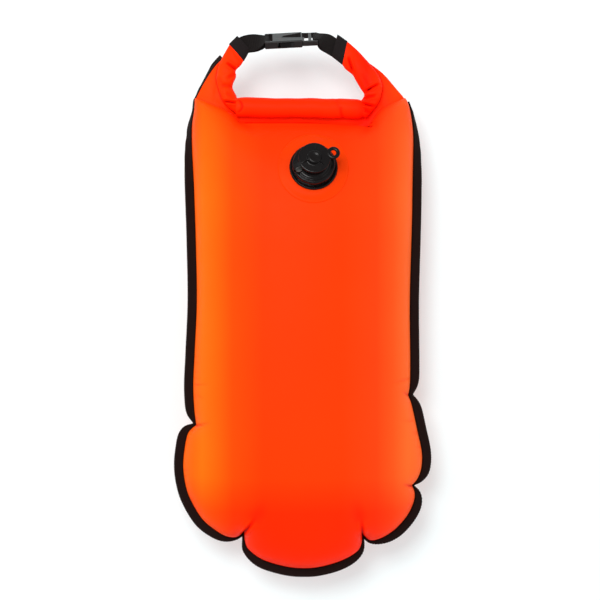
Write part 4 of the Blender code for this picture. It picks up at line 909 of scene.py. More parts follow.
def tape_stations():
    """The path with its turns eased, in finer steps, with teeth along its width as on a cut woven edge."""
    feet, outs, widths, leans, thick = tape_path()
    for _ in range(8):
        leans[1:-1] = (leans[:-2] + 2 * leans[1:-1] + leans[2:]) / 4
        outs[1:-1] = unit(outs[:-2] + 2 * outs[1:-1] + outs[2:])
        widths[1:-1] = (widths[:-2] + 2 * widths[1:-1] + widths[2:]) / 4
    reach = walked(feet)
    fine = np.linspace(0, reach[-1], round(reach[-1] / TAPE_STEP) + 1)
    table = np.column_stack([feet, outs, widths, leans, thick])
    table = np.column_stack([np.interp(fine, reach, table[:, k]) for k in range(table.shape[1])])
    teeth = TEETH_DEPTH * np.sin(2 * np.pi * fine / TEETH_PITCH + 2 * waves(fine, 3, 0.04, 3))
    return fine, table[:, 0:2], unit(table[:, 2:4]), table[:, 4] + teeth, table[:, 5], table[:, 6]


tape_reach, feet, outs, widths, leans, thick = tape_stations()
section = rounded_strip(1.0, 0.22, 7)
half = TAPE_HALF * thick * (1 + 0.10 * waves(tape_reach, 5, 0.03, 4))
u = TAPE_INNER + section[None, :, 0] * (widths - TAPE_INNER)[:, None]
v = section[None, :, 1] / 0.22 * half[:, None]
v = v + (0.0005 * waves(tape_reach, 7, 0.05, 5))[:, None] * (section[None, :, 0] ** 2)
out_part = u * np.cos(leans)[:, None] + v * np.sin(leans)[:, None]
up_part = v * np.cos(leans)[:, None] - u * np.sin(leans)[:, None]
tape = np.dstack([feet[:, 0, None] + outs[:, 0, None] * out_part,
                  feet[:, 1, None] + outs[:, 1, None] * out_part,
                  SEAM_Z + up_part])
across = walked(section * TAPE_WIDTH)
tape_uv = np.dstack(np.broadcast_arrays(across[None], tape_reach[:, None]))


def capped(rows, columns):
    """Faces of a tube whose two ends are closed by one face fan round an extra middle point each."""
    quads = grid_faces(rows, columns, close_columns=True)
    ring = np.arange(columns)
    following = (ring + 1) % columns
    first = rows * columns
    low = np.column_stack([np.full(columns, first), following, ring])
    last = (rows - 1) * columns
    high = np.column_stack([np.full(columns, first + 1), last + ring, last + following])
    return [quads, low, high]


def add_middles(grid):
    """The grid's points with the middle of its first and last ring added at the end."""
    return np.vstack([grid.reshape(-1, grid.shape[-1]), grid[0].mean(axis=0), grid[-1].mean(axis=0)])


corner = int(np.argmin(np.linalg.norm(feet - photo_places(WEB_TAPE_PIXELS[0], 0.0), axis=1)))
for name, part, body in (("edge_tape", slice(0, corner + 1), "bag"), ("web_tape", slice(corner, None), None)):
    strip = tape[part]
    piece = new_piece(name, add_middles(strip), capped(*strip.shape[:2]), TAPE_CLOTH, body,
                      uv=add_middles(tape_uv[part]), replaces=["edge_binding"])
    if body is None:
        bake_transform(piece)
print("tape length in m", round(float(tape_reach[-1]), 3))


# %% [markdown]
# ## The rolled mouth
# The mouth is closed by rolling it down round a plastic strip. Seen from the end it is a spiral, so the
# profile is one: the sheet winds inward by its own thickness on each turn, and its tail runs down to
# the top of the chamber.

# %% The roll
ROLL_Y = 0.2295
ROLL_RADIUS = 0.0124
ROLL_SHEET = 0.0015
ROLL_TURNS = 2.6
ROLL_PITCH = 0.0021
ROLL_STATIONS = 120
ROLL_LOW_X, ROLL_HIGH_X = (float(end[0]) for end in box("roll_collar"))
ROLL_HIGH_X += 0.0070
ROLL_SLOPE = -0.014


def fold_top(x):
    """Where the chamber's weld line runs under the roll, at one place across the bag."""
    top = WELD[WELD_RUN >= TAPED_RUNS]
    order = np.argsort(top[:, 0])
    return np.interp(x, top[order, 0], top[order, 1])


def roll_profile():
    """Turn, outer radius and inner radius along the spiral; the turn starts at the lowest point."""
    swept = np.linspace(0, ROLL_TURNS * 2 * np.pi, 190)
    outer = ROLL_RADIUS - ROLL_PITCH * swept / (2 * np.pi)
    return swept - np.pi / 2, outer, outer - ROLL_SHEET


def roll_crease_dents_and_shade(x, angle):
    """The curved fold beside the left arm and two faint ones near the right arm, 0 to 1; it dents the roll and
    paints shade.
    """
    bow = 0.0074 * np.sqrt(np.clip(1 - ((np.cos(angle) - 0.05) / 0.75) ** 2, 0, 1))
    left = (np.exp(-((x - ROLL_LOW_X - bow) / 0.0012) ** 2)
            * smooth_step((0.75 - np.abs(np.cos(angle) - 0.05)) / 0.12))
    from_right = ROLL_HIGH_X - x
    right = (0.40 * np.exp(-((from_right - 0.021 - 0.007 * np.sin(angle - 0.4)) / 0.0016) ** 2)
             * (np.cos(angle) < 0.1))
    right += 0.30 * np.exp(-((from_right - 0.030 - 0.004 * np.cos(angle)) / 0.0022) ** 2)
    return (left + right) * smooth_step((np.sin(angle) + 0.2) / 0.4)


def roll_dents(x, angle):
    """Shallow dents of the rolled cloth: pulled in beside the arms, slightly uneven along its length."""
    from_left = x - ROLL_LOW_X
    from_right = ROLL_HIGH_X - x
    ends = 0.0007 * np.exp(-(from_left / 0.006) ** 2) + 0.0030 * np.exp(-(from_right / 0.0045) ** 2)
    slow = 0.00045 * waves(x + 0.010 * np.cos(angle), 31, 0.07, 4)
    return ends + 0.0013 * roll_crease_dents_and_shade(x, angle) - slow


def make_roll():
    """A closed spiral strip carried along x, with a tail that curls from the roll down to the chamber."""
    angle, outer, inner = roll_profile()
    x = np.linspace(ROLL_LOW_X, ROLL_HIGH_X, ROLL_STATIONS)[:, None]
    dent = roll_dents(x, angle[None])
    middle_y = ROLL_Y + ROLL_SLOPE * x
    middle_z = HANDLE_Z + 0 * x
    far = outer[None] - dent
    near = inner[None] - dent
    outside = np.dstack([x + 0 * angle, middle_y + far * np.cos(angle), middle_z + far * np.sin(angle)])
    inside = np.dstack([x + 0 * angle, middle_y + near * np.cos(angle), middle_z + near * np.sin(angle)])
    share = np.linspace(0, 1, 14)[None, :-1]
    tail_y = fold_top(x) - 0.001
    lip = 0.0020 * np.sin(np.pi * share) * (1 + 0.05 * waves(x, 41, 0.09, 3))
    low_z = HANDLE_Z - ROLL_RADIUS
    tail_height = SEAM_Z + 0.0010 + (low_z - SEAM_Z - 0.0010) * smooth_step(share)
    reach_y = tail_y + (middle_y - tail_y) * share
    tail_under = np.dstack(np.broadcast_arrays(x, reach_y, tail_height + lip))
    tail_over = tail_under + (0, 0, ROLL_SHEET)
    grid = np.concatenate([tail_under, outside, inside[:, ::-1], tail_over[:, ::-1]], axis=1)
    # Painted shade: the folds darken the cloth's colour on the roll's outside.
    fold = np.zeros(grid.shape[:2])
    fold[:, tail_under.shape[1]:tail_under.shape[1] + len(angle)] = 0.75 * roll_crease_dents_and_shade(x, angle[None])
    return grid, fold


roll, roll_painted_shade = make_roll()
columns = roll.shape[1]
ends = []
for row in (0, ROLL_STATIONS - 1):
    k = np.arange(columns // 2 - 1)
    strip = np.column_stack([k, k + 1, columns - 2 - k, columns - 1 - k]) + row * columns
    ends.append(strip[:, ::-1] if row == 0 else strip)
roll_sides = grid_faces(ROLL_STATIONS, columns, close_columns=True)
new_piece("rolled_mouth", roll.reshape(-1, 3), [roll_sides, *ends], HANDLE_CLOTH, "bag", fold=roll_painted_shade,
          replaces=["roll_collar"])


# %% [markdown]
# ## The corner webs
# The flat corners of the bag are drawn up beside the roll. Each one is two layers of cloth with a
# little air between them, so its section is a thin lens. Its lower edge dips under the chamber's wall.
# The bag holds its root and the arm pulls its tip.

# %% Webs between two edges
WEB_PIXELS = {
    "left": ([(195.8, 100.8), (198.9, 94.4), (205.6, 82), (213.2, 70), (218.8, 63.4), (225, 57.5)],
             [(250, 127), (236, 112), (228, 98), (224.5, 84), (225, 70), (230, 61)]),
    "right": ([(407.5, 110), (404.6, 100.5), (394.5, 88), (384, 75.8), (376, 69), (369, 64)],
              [(352, 140), (357, 119), (370, 101), (374, 88), (370, 78), (364, 70)]),
}
ARM_RISE = HANDLE_Z - SEAM_Z
ARM_PIXELS = {
    "left": [((237, 114), (247, 106)), ((230, 108.5), (241.5, 100.5)), ((225.5, 103.9), (237.2, 98)),
             ((222.3, 99.6), (236.2, 95.3)), ((218.6, 88.4), (232.5, 86.8)), ((216.5, 79.3), (236, 76.7)),
             ((217, 73.5), (235.7, 70.8)), ((218.6, 66), (241, 65)), ((222, 58), (243.1, 61.6)),
             ((230.0, 43.9), (244.0, 60.2)), ((233.6, 41.4), (245.2, 56.2))],
    "right": [((366, 118), (351, 109.5)), ((373, 110), (356, 104.5)), ((379.2, 101), (360.6, 101)),
              ((381.5, 93), (364.2, 95)), ((382.2, 86), (360.5, 88.5)), ((378.6, 75.8), (356, 81)),
              ((372.6, 67.4), (352.8, 75.2)), ((366, 59.6), (348, 71.2)), ((357, 50), (345, 68.6)),
              ((346.6, 41.1), (341.7, 63.8)), ((343.0, 40.2), (339.2, 60.6))],
}
WEB_ROWS = 60
WEB_COLUMNS = 44


def edge_places(pixels, rise, count):
    """Evenly spaced places along a smooth edge that is seen in the photograph."""
    return photo_places(smooth_curve(pixels, count), rise)


def make_web(side):
    """Rows from outer to inner edge; half the thickness follows 4 s (1 - s), more near the chamber."""
    outer_pixels, inner_pixels = WEB_PIXELS[side]
    outer = edge_places(outer_pixels, 0.0, WEB_ROWS)[:, None]
    inner = edge_places(inner_pixels, 0.0, WEB_ROWS)[:, None]
    s = (0.5 - 0.5 * np.cos(np.linspace(0, np.pi, WEB_COLUMNS)))[None, :, None]
    t = np.linspace(0, 1, WEB_ROWS)[:, None]
    plan = outer + (inner - outer) * s
    puff = 0.0012 + 0.0034 * (4 * s[..., 0] * (1 - s[..., 0])) ** 0.6 * (1 - 0.35 * t)
    fold = 0.0014 * np.exp(-((s[..., 0] - 0.55 - 0.3 * t) / 0.10) ** 2) * smooth_step(t / 0.2) * (1 - t)
    fold -= 0.0010 * np.exp(-((s[..., 0] - 0.34 - 0.2 * t) / 0.07) ** 2) * smooth_step(t / 0.2) * (1 - t)
    ripple = 0.0003 * waves(plan[..., 0] + plan[..., 1], 51 if side == "left" else 57, 0.03, 4)
    # Painted shade: a dark band in the web's colour along the arm's edge, where the arm shades it.
    arm_edge = edge_places(np.array(ARM_PIXELS[side])[:8, 0], 0.0, 160)
    away = np.min(np.linalg.norm(plan[:, :, None] - arm_edge, axis=3), axis=2)
    dark = 0.62 * np.exp(-(away / 0.0013) ** 2)
    high = SEAM_Z + puff + fold + ripple
    low = SEAM_Z - puff * 0.8 - fold * 0.5
    upper = np.dstack([plan, high])
    lower = np.dstack([plan, low])
    nose = (upper[:, :1] + lower[:, :1]) / 2
    nose[..., :2] += (outer - inner) / np.linalg.norm(outer - inner, axis=2, keepdims=True) * 0.0010
    dark = np.concatenate([0 * dark[:, :1], dark, 0 * dark], axis=1)
    return np.dstack([np.concatenate([nose, upper, lower[:, ::-1]], axis=1), dark])


for side in ("left", "right"):
    web = make_web(side)
    faces = capped(*web.shape[:2])
    web = add_middles(web)
    piece = new_piece(side + "_web", web[:, :3], faces, HANDLE_CLOTH, None, fold=web[:, 3],
                      replaces=[side + "_corner_web"])
    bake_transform(piece)


# %% [markdown]
# ## The handle's arms
# Each end of the roll is drawn up to the buckle and becomes an arm: thick and soft at its root, flat
# where the band holds it. Both its edges are known from the photograph, so a tube between two curves
# gives it its outline, and its creases are valleys in its upper side.

# %% Tubes between two edges
ARM_THICK = {"left": [0.0070, 0.0090, 0.0088, 0.0090, 0.0084, 0.0094, 0.0086, 0.0084, 0.0070, 0.0046, 0.0044],
             "right": [0.0070, 0.0086, 0.0088, 0.0092, 0.0092, 0.0094, 0.0092, 0.0086,
                       0.0070, 0.0046, 0.0044]}
ARM_CREASES = {
    "left": [((226.5, 62.5), (237.5, 71.0), 0.0015, 0.0042), ((238.0, 71.5), (227.5, 78.5), 0.0018, 0.0022),
             ((233.5, 87.0), (222.5, 85.0), 0.0022, 0.0022), ((222.5, 101.0), (237.0, 103.0), 0.0013, 0.0046),
             ((217.8, 76.0), (224.0, 91.0), 0.0028, 0.0012), ((226.0, 93.0), (234.0, 98.0), 0.0018, 0.0014)],
    "right": [((348.2, 57.0), (352.8, 71.5), 0.0014, 0.0042), ((365.5, 91.5), (379.0, 83.5), 0.0014, 0.0044),
              ((360.5, 98.5), (376.5, 95.5), 0.0015, 0.0030), ((360.5, 103.5), (375.5, 106.5), 0.0014, 0.0044),
              ((363.0, 75.0), (371.5, 96.0), 0.0036, 0.0010), ((362.0, 109.5), (371.0, 113.0), 0.0015, 0.0022)],
}
ARM_CREASE_SHADE_DEPTH = 0.0050
ARM_ROWS = 140
ARM_COLUMNS = 72


def segment_valley(points, start, end, width, depth):
    """A valley along a straight line that fades at both ends, with soft lips beside it."""
    span = end - start
    length = np.linalg.norm(span)
    along = ((points - start) @ span) / length ** 2
    foot = start + np.clip(along, 0, 1)[..., None] * span
    away = np.linalg.norm(points - foot, axis=-1)
    fade = np.clip(1.3 * np.sin(np.pi * np.clip(along * 0.86 + 0.07, 0, 1)), 0, 1)
    return depth * fade * (0.4 * np.exp(-((away - 2.0 * width) / width) ** 2) - np.exp(-(away / width) ** 2))


def oval(angle, squareness=2.3):
    """Cosine and sine of an angle, both drawn towards a rounded square."""
    c = np.cos(angle)
    s = np.sin(angle)
    return np.sign(c) * np.abs(c) ** (2 / squareness), np.sign(s) * np.abs(s) ** (2 / squareness)


def between_edges(pixels, thick, count):
    """A smooth curve through the pairs of edge places: its middle, half its width and its thickness."""
    stations = np.array(pixels, float)
    outer = photo_places(stations[:, 0], ARM_RISE)
    inner = photo_places(stations[:, 1], ARM_RISE)
    rows = smooth_curve(np.column_stack([outer, inner, thick]), count)
    return np.column_stack([(rows[:, 0:2] + rows[:, 2:4]) / 2, (rows[:, 0:2] - rows[:, 2:4]) / 2, rows[:, 4]])


def make_arm(side):
    """Rings across the path: the middle of both edges plus an oval of half their distance and thickness."""
    rows = between_edges(ARM_PIXELS[side], ARM_THICK[side], ARM_ROWS)
    middle = rows[:, 0:2]
    wide = rows[:, 2:4]
    angle = np.linspace(0, 2 * np.pi, ARM_COLUMNS, endpoint=False)
    c, s = oval(angle)
    plan = middle[:, None] + wide[:, None] * c[None, :, None]
    height = rows[:, 4, None] * s[None]
    dents = np.zeros(height.shape)
    for start, end, width, depth in ARM_CREASES[side]:
        ends = photo_places([start, end], ARM_RISE + 0.007)
        dents += segment_valley(plan, ends[0], ends[1], width, depth)
    seed = 61 if side == "left" else 67
    ripple = 0.0003 * waves(plan[..., 0] * 1.7 + plan[..., 1] + 0.01 * s, seed, 0.02, 5)
    height = height + (dents + ripple) * np.clip(np.abs(s) * 1.5, 0, 1) * np.where(s > 0, 1, -0.5)
    # Painted shade: the creases darken the colour of the arm's upper side.
    fold = np.clip(-dents / ARM_CREASE_SHADE_DEPTH, 0, 1) * (s > 0)
    return np.dstack([plan, HANDLE_Z + height, fold])


for side, pivot in (("left", LEFT_PIVOT), ("right", RIGHT_PIVOT)):
    arm = add_middles(make_arm(side))
    piece = new_piece(side + "_arm_cloth", arm[:, :3], capped(ARM_ROWS, ARM_COLUMNS), HANDLE_CLOTH, None,
                      fold=arm[:, 3], replaces=[side + "_arm"])
    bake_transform(piece)


# %% [markdown]
# ## Bands and webbing
# A band of tape is sewn round the end of each arm and holds the webbing. The webbing lies flat in the
# band and stands on edge at the buckle, so it turns on the way, goes round the bar and comes back.

# %% The end bands
BAND_PIXELS = {
    "left": [((229.0, 44.2), (243.8, 61.2)), ((230.5, 42.4), (245.0, 59.2)), ((233.6, 39.4), (247.5, 54.8)),
             ((236.4, 36.6), (249.2, 51.0)), ((237.2, 35.9), (249.8, 49.8))],
    "right": [((347.4, 41.2), (342.2, 64.8)), ((345.6, 40.0), (340.2, 63.2)), ((342.0, 37.4), (336.4, 60.2)),
              ((338.8, 35.2), (333.0, 57.6)), ((337.4, 34.5), (331.8, 56.8))],
}
BAND_THICK = [0.0050, 0.0054, 0.0053, 0.0052, 0.0046]
BAND_ROWS = 26
BAND_COLUMNS = 88


def make_band(side):
    """Oval rings between the band's two edges; the far end turns in, so the sleeve's mouth shows."""
    rows = between_edges(BAND_PIXELS[side], BAND_THICK, BAND_ROWS)
    rows = np.vstack([rows[:1], rows, rows[-1:], rows[-4:-3]])
    size = np.ones(len(rows))
    size[0] = 0.88
    size[-2:] = 0.84
    middle = rows[:, 0:2]
    wide = rows[:, 2:4] * size[:, None]
    angle = np.linspace(0, 2 * np.pi, BAND_COLUMNS, endpoint=False)
    c, s = oval(angle, 2.6)
    plan = middle[:, None] + wide[:, None] * c[None, :, None]
    height = (rows[:, 4] * size)[:, None] * s[None]
    grid = np.dstack([plan, HANDLE_Z + height])
    along = np.linspace(0, 0.014, len(rows))
    uv = np.dstack(np.broadcast_arrays(angle[None] * 0.008, along[:, None]))
    return grid, uv


for side in ("left", "right"):
    grid, uv = make_band(side)
    new_piece(side + "_band", add_middles(grid), capped(*grid.shape[:2]), BAND_CLOTH, "arm_" + side,
              uv=add_middles(uv), replaces=[side + "_end_band"])

# %% The webbing's route
BUCKLE_TILT = math.radians(3.0)
BUCKLE_LEAN = math.radians(63.0)
BUCKLE_ORIGIN = np.array((-0.0442, 0.3079, HANDLE_Z))
ALONG = np.array((math.cos(BUCKLE_TILT), math.sin(BUCKLE_TILT), 0.0))
WIDE = np.array((-math.sin(BUCKLE_TILT) * math.cos(BUCKLE_LEAN),
                 math.cos(BUCKLE_TILT) * math.cos(BUCKLE_LEAN),
                 -math.sin(BUCKLE_LEAN)))
FACE = np.cross(ALONG, WIDE)
WEBBING_WIDTH = 0.025
WEBBING_THICK = 0.0012
PLY_GAP = 0.0009
BAR_LEAD = 0.0025
BAR_HALF = math.hypot(0.0040, 0.0036) / 2
LOOP_ARC = BAR_HALF + 0.0003 + WEBBING_THICK / 2
LOOP_SAG = 0.0014
LOOP_SAG_AT = 0.012
LOOP_SAG_REACH = 0.0075
BAND_NARROW = 0.18
BAND_LENGTH = 0.0125
BAND_TUCK = 0.0052 + 0.0003
WEBBING = {
    "left": dict(bar=0.0020, sense=-1, leave=0.45, arrive=0.30, twist=(-0.05, 1.0),
                 end=(-0.6118, -0.0915), aim=math.radians(45.4)),
    "right": dict(bar=0.0443 + 0.0178 - 0.0020, sense=1, leave=0.55, arrive=0.50, twist=(0.05, 0.90),
                  end=(0.3874, -0.0905), aim=math.radians(151.9)),
}
print("buckle face looks along", np.round(FACE, 3).tolist())


def ribbon_route(length):
    """Distance from the bar and height of the strip's middle: out of the band, round the bar and back."""
    far = np.linspace(length, LOOP_ARC * 2.6, 46)
    straight = np.column_stack([far, np.full(46, (WEBBING_THICK + PLY_GAP) / 2)])
    turn = np.radians(np.linspace(62, 180, 16))
    arc = np.column_stack([np.cos(turn), np.sin(turn)]) * LOOP_ARC
    half = even_points(smooth_curve(np.vstack([straight, [(LOOP_ARC * 1.5, LOOP_ARC * 0.58)], arc]), 400), 90)
    back = half[-2::-1] * (1, -1)
    sag = (LOOP_SAG * np.exp(-((back[:, 0] - LOOP_SAG_AT) / LOOP_SAG_REACH) ** 2)
           * smooth_step(back[:, 0] / 0.006))
    return np.vstack([half, back - sag[:, None] * (0, 1)])


def webbing_frame(reach, side):
    """Middle, heading and width direction: a straight lead, then a Hermite curve with a twist."""
    strap = WEBBING[side]
    aim = np.array((math.cos(strap["aim"]), math.sin(strap["aim"]), 0.0))
    lead_aim = ALONG * strap["sense"]
    lead = BUCKLE_ORIGIN + ALONG * strap["bar"] + lead_aim * BAR_LEAD
    mouth = np.array((*chamber_places([strap["end"]])[0], HANDLE_Z)) + aim * BAND_LENGTH
    chord = np.linalg.norm(mouth - lead)
    t = ((reach - BAR_LEAD) / chord)[:, None]
    inner = np.clip(t, 0, 1)
    leave = strap["leave"] * chord * lead_aim
    arrive = -strap["arrive"] * chord * aim
    place = ((2 * inner ** 3 - 3 * inner ** 2 + 1) * lead + (inner ** 3 - 2 * inner ** 2 + inner) * leave
             + (3 * inner ** 2 - 2 * inner ** 3) * mouth + (inner ** 3 - inner ** 2) * arrive)
    slope = ((6 * inner ** 2 - 6 * inner) * lead + (3 * inner ** 2 - 4 * inner + 1) * leave
             + (6 * inner - 6 * inner ** 2) * mouth + (3 * inner ** 2 - 2 * inner) * arrive)
    place = place + np.minimum(t, 0) * chord * lead_aim - np.maximum(t - 1, 0) * chord * aim
    heading = unit(slope)
    flat = np.array([-aim[1], aim[0], 0.0])
    flat = flat if np.dot(flat, WIDE) > 0 else -flat
    first, last = strap["twist"]
    ease = np.sin(np.pi / 2 * np.clip((t - first) / (last - first), 0, 1))
    wide = unit((1 - ease) * WIDE + ease * flat)
    wide = unit(wide - heading * np.sum(wide * heading, axis=1, keepdims=True))
    return place, heading, wide * (1 - BAND_NARROW * ease), chord


def make_webbing(side):
    """The route's height goes along the strip's normal; the section is a thin strip with rounded edges."""
    chord = webbing_frame(np.zeros(1), side)[3]
    route = ribbon_route(BAR_LEAD + chord + BAND_LENGTH - BAND_TUCK)
    place, heading, wide, _ = webbing_frame(route[:, 0], side)
    up = unit(np.cross(heading, wide)) * WEBBING[side]["sense"]
    ahead = unit(np.gradient(route, axis=0))
    skin = up * ahead[:, :1] - heading * ahead[:, 1:]
    across = np.linspace(-1, 1, 34)
    thick = WEBBING_THICK / 2 * (1 - 0.55 * np.abs(across) ** 14)
    middle = place[:, None] + up[:, None] * route[:, 1, None, None] + wide[:, None] * (
        across * WEBBING_WIDTH / 2)[None, :, None]
    wall = skin[:, None] * thick[None, :, None]
    grid = np.concatenate([middle + wall, (middle - wall)[:, ::-1]], axis=1)
    sides = np.concatenate([across, across[::-1] + 2.1]) * WEBBING_WIDTH / 2
    uv = np.dstack(np.broadcast_arrays(sides[None], walked(route)[:, None]))
    return grid, uv, webbing_frame(np.array([0.0, BAR_LEAD + chord]), side)[0]


for side, half_name in (("left", "socket"), ("right", "plug")):
    grid, uv, (at_bar, at_band) = make_webbing(side)
    piece = new_piece(side + "_strap", add_middles(grid), capped(*grid.shape[:2]), WEBBING_CLOTH, None,
                      uv=add_middles(uv), replaces=[side + "_webbing"])
    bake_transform(piece)


# %% [markdown]
# ## The buckle
# The buckle is two moulded halves, and its own solids have the right shape. They keep it, and get the
# finish of glass-filled plastic: satin, with a very fine spark-eroded grain.

# %% Moulded plastic
def moulded(name, dark, pale, roughness, grain=0.00003, specular=0.5):
    """Satin plastic: a slow drift of tone and gloss, and a fine even grain."""
    finish = Finish(name, dark, roughness, Specular_IOR_Level=specular)
    drift = finish.ramp(finish.noise(70.0, 3.0), "Fac", [(0.35, dark), (0.75, pale)])
    finish.link(drift, "Color", finish.shader, "Base Color")
    finish.drifting_gloss(420.0, roughness, 0.06, 0.10)
    finish.bump(finish.noise(3200.0, 2.0), "Fac", grain, 0.5)
    return finish.material


BUCKLE_PLASTIC = moulded("buckle plastic", (0.0068, 0.0046, 0.0045), (0.0110, 0.0082, 0.0082),
                         0.34, specular=0.25)
VALVE_PLASTIC = moulded("valve plastic", (0.0034, 0.0026, 0.0026), (0.0056, 0.0046, 0.0046),
                        0.15, specular=0.13)
SEAL_RUBBER = moulded("seal rubber", (0.0040, 0.0035, 0.0035), (0.007, 0.0065, 0.0065), 0.55, specular=0.10)
# Painted highlight: the peg's plastic is far lighter than the valve's, so its top shows bright.
PEG_PAINTED_HIGHLIGHT_PLASTIC = moulded("peg plastic with painted highlight", (0.055, 0.055, 0.050), (0.085, 0.085, 0.078), 0.40, specular=0.4)
SILICONE = moulded("flap silicone", (0.62, 0.60, 0.57), (0.72, 0.70, 0.67), 0.45)
STEM_PLASTIC = moulded("stem plastic", (0.45, 0.45, 0.44), (0.55, 0.55, 0.54), 0.40)
LINER_FILM = moulded("liner film", (0.78, 0.30, 0.16), (0.86, 0.38, 0.22), 0.38)
STRIP_PLASTIC = moulded("stiffener plastic", (0.70, 0.68, 0.64), (0.78, 0.76, 0.72), 0.40)


def refinish(node, material):
    """Gives a CAD node's object another material."""
    for slot in bpy.data.objects[node].material_slots:
        slot.material = material


for node, material in (("buckle_female", BUCKLE_PLASTIC), ("buckle_male", BUCKLE_PLASTIC),
                       ("upper_prong", VALVE_PLASTIC), ("lower_prong", VALVE_PLASTIC),
                       ("valve_gasket", SEAL_RUBBER), ("valve_flap", SILICONE), ("valve_stem", STEM_PLASTIC),
                       ("inner_liner", LINER_FILM), ("mouth_stiffener", STRIP_PLASTIC)):
    refinish(node, material)


# %% [markdown]
# Small things finish the buckle: thin dark plates of painted shade over the hollow behind its window
# and on the plug, the oval pads that the fingers press, and the collar of the plug that closes the joint
# line between the halves.

# %% Window shade plates, pads and collar
BUCKLE_HALF_WIDTH = 0.016
BUCKLE_HALF_THICK = 0.0045


def on_buckle(points):
    """Points given along, across and over the buckle, moved to their place."""
    return BUCKLE_ORIGIN + np.asarray(points, float).reshape(-1, 3) @ np.array([ALONG, WIDE, FACE])


def small_block(name, outline, low, high, body, material):
    """A low prism: the outline's corners along and across, between two heights; its faces stay flat."""
    count = len(outline)
    points = [(x, y, low) for x, y in outline] + [(x, y, high) for x, y in outline]
    k = np.arange(count)
    sides = np.column_stack([k, (k + 1) % count, (k + 1) % count + count, k + count])
    piece = new_piece(name, on_buckle(points), [sides, k[None, ::-1], k[None] + count], material, body)
    piece.data.shade_flat()


# Painted shade: thin dark plates on the socket's face and the plug stand for the dark inside of their openings.
WINDOW_SHADE = moulded("window painted shade", (0.0040, 0.0016, 0.0014), (0.0060, 0.0026, 0.0022),
                       0.8, specular=0.05)
small_block("socket_window_hollow",
            [(0.0196, -0.0012), (0.0424, -0.0042), (0.0424, 0.0122), (0.0222, 0.0040)],
            BUCKLE_HALF_THICK - 0.0003, BUCKLE_HALF_THICK + 0.00012, "socket", WINDOW_SHADE)
small_block("plug_recess", [(0.0442, 0.0006), (0.0468, 0.0006), (0.0468, 0.0148), (0.0442, 0.0148)],
            0.0029, 0.0034, "plug", WINDOW_SHADE)
small_block("plug_collar", [(0.0440, -0.0148), (0.0462, -0.0148), (0.0462, 0.0148), (0.0440, 0.0148)],
            -0.0030, 0.0030, "plug", BUCKLE_PLASTIC)


def make_pad(name, side, body):
    """An oval dome on the finger pad of a prong, made as rings that shrink towards its top."""
    turn = np.linspace(0, 2 * np.pi, 48, endpoint=False)[None]
    climb = np.linspace(0, np.pi / 2, 9)[:-1, None]
    along = 0.0252 + 0.0074 * np.cos(climb) * np.cos(turn)
    over = 0.0026 * np.cos(climb) * np.sin(turn)
    out = side * (BUCKLE_HALF_WIDTH - 0.0012 + 0.0016 * np.sin(climb)) + 0 * turn
    grid = np.dstack([along, out, over])
    new_piece(name, on_buckle(add_middles(grid)), capped(*grid.shape[:2]), VALVE_PLASTIC, body)


upper_side = -1 if box("upper_prong")[1][2] > box("lower_prong")[1][2] else 1
make_pad("upper_press_pad", upper_side, "prong_upper")
make_pad("lower_press_pad", -upper_side, "prong_lower")


# %% [markdown]
# ## The valve
# The valve's parts are turned on a lathe in the mould maker's mind: each is a profile carried round one
# axis. The axis stands square to the wall, so all of them are made upright and then turned together.
# Moulded parts have no knife edges, so one function rounds all the corners of an outline.

# %% Turned parts
def axis_frame(axis):
    """The shortest turn that takes straight up to the axis, as a matrix."""
    cross = np.array([-axis[1], axis[0], 0.0])
    skew = np.array([[0, -cross[2], cross[1]], [cross[2], 0, -cross[0]], [-cross[1], cross[0], 0]])
    return np.eye(3) + skew + skew @ skew / (1 + axis[2])


VALVE_TURN = axis_frame(VALVE_AXIS)


def on_valve(points):
    """Points of the upright valve, turned on to its axis and moved to its place."""
    return np.asarray(points, float).reshape(-1, 3) @ VALVE_TURN.T + VALVE_ORIGIN


def rounded_profile(corners, radius, count=5):
    """An open profile whose corners are cut short by the radius and replaced by quadratic arcs."""
    corners = np.asarray(corners, float)
    before = unit(corners[:-2] - corners[1:-1])
    after = unit(corners[2:] - corners[1:-1])
    room = np.minimum(np.linalg.norm(corners[:-2] - corners[1:-1], axis=1),
                      np.linalg.norm(corners[2:] - corners[1:-1], axis=1))[:, None] * 0.45
    cut = np.minimum(radius, room)
    t = np.linspace(0, 1, count)[None, :, None]
    a = (corners[1:-1] + before * cut)[:, None]
    b = (corners[1:-1] + after * cut)[:, None]
    arcs = (1 - t) ** 2 * a + 2 * t * (1 - t) * corners[1:-1, None] + t ** 2 * b
    return np.vstack([corners[:1], arcs.reshape(-1, 2), corners[-1:]])


def turned(profile, sides, grip=None):
    """Rows round the axis, columns along the profile; a grip scales the radius from place to place."""
    angle = np.linspace(0, 2 * np.pi, sides, endpoint=False)[:, None]
    radius = profile[None, :, 0] + 0 * angle
    height = profile[None, :, 1] + 0 * angle
    if grip is not None:
        radius = radius + grip(angle, radius, height)
    return np.dstack([radius * np.cos(angle), radius * np.sin(angle), height])


def turned_piece(name, profile, body, node, material, closed, sides=112, grip=None, put=on_valve):
    """A turned part that put places: a closed profile makes a ring, an open one begins and ends on the axis."""
    used = profile if closed else profile[1:-1]
    grid = turned(used, sides, grip)
    if closed:
        points = grid.reshape(-1, 3)
        faces = [ring_faces(grid)]
    else:
        upright = grid.transpose(1, 0, 2)
        points = np.vstack([upright.reshape(-1, 3), (0, 0, profile[0, 1]), (0, 0, profile[-1, 1])])
        faces = capped(*upright.shape[:2])
    return new_piece(name, put(points), faces, material, body, replaces=[node] if node else ())


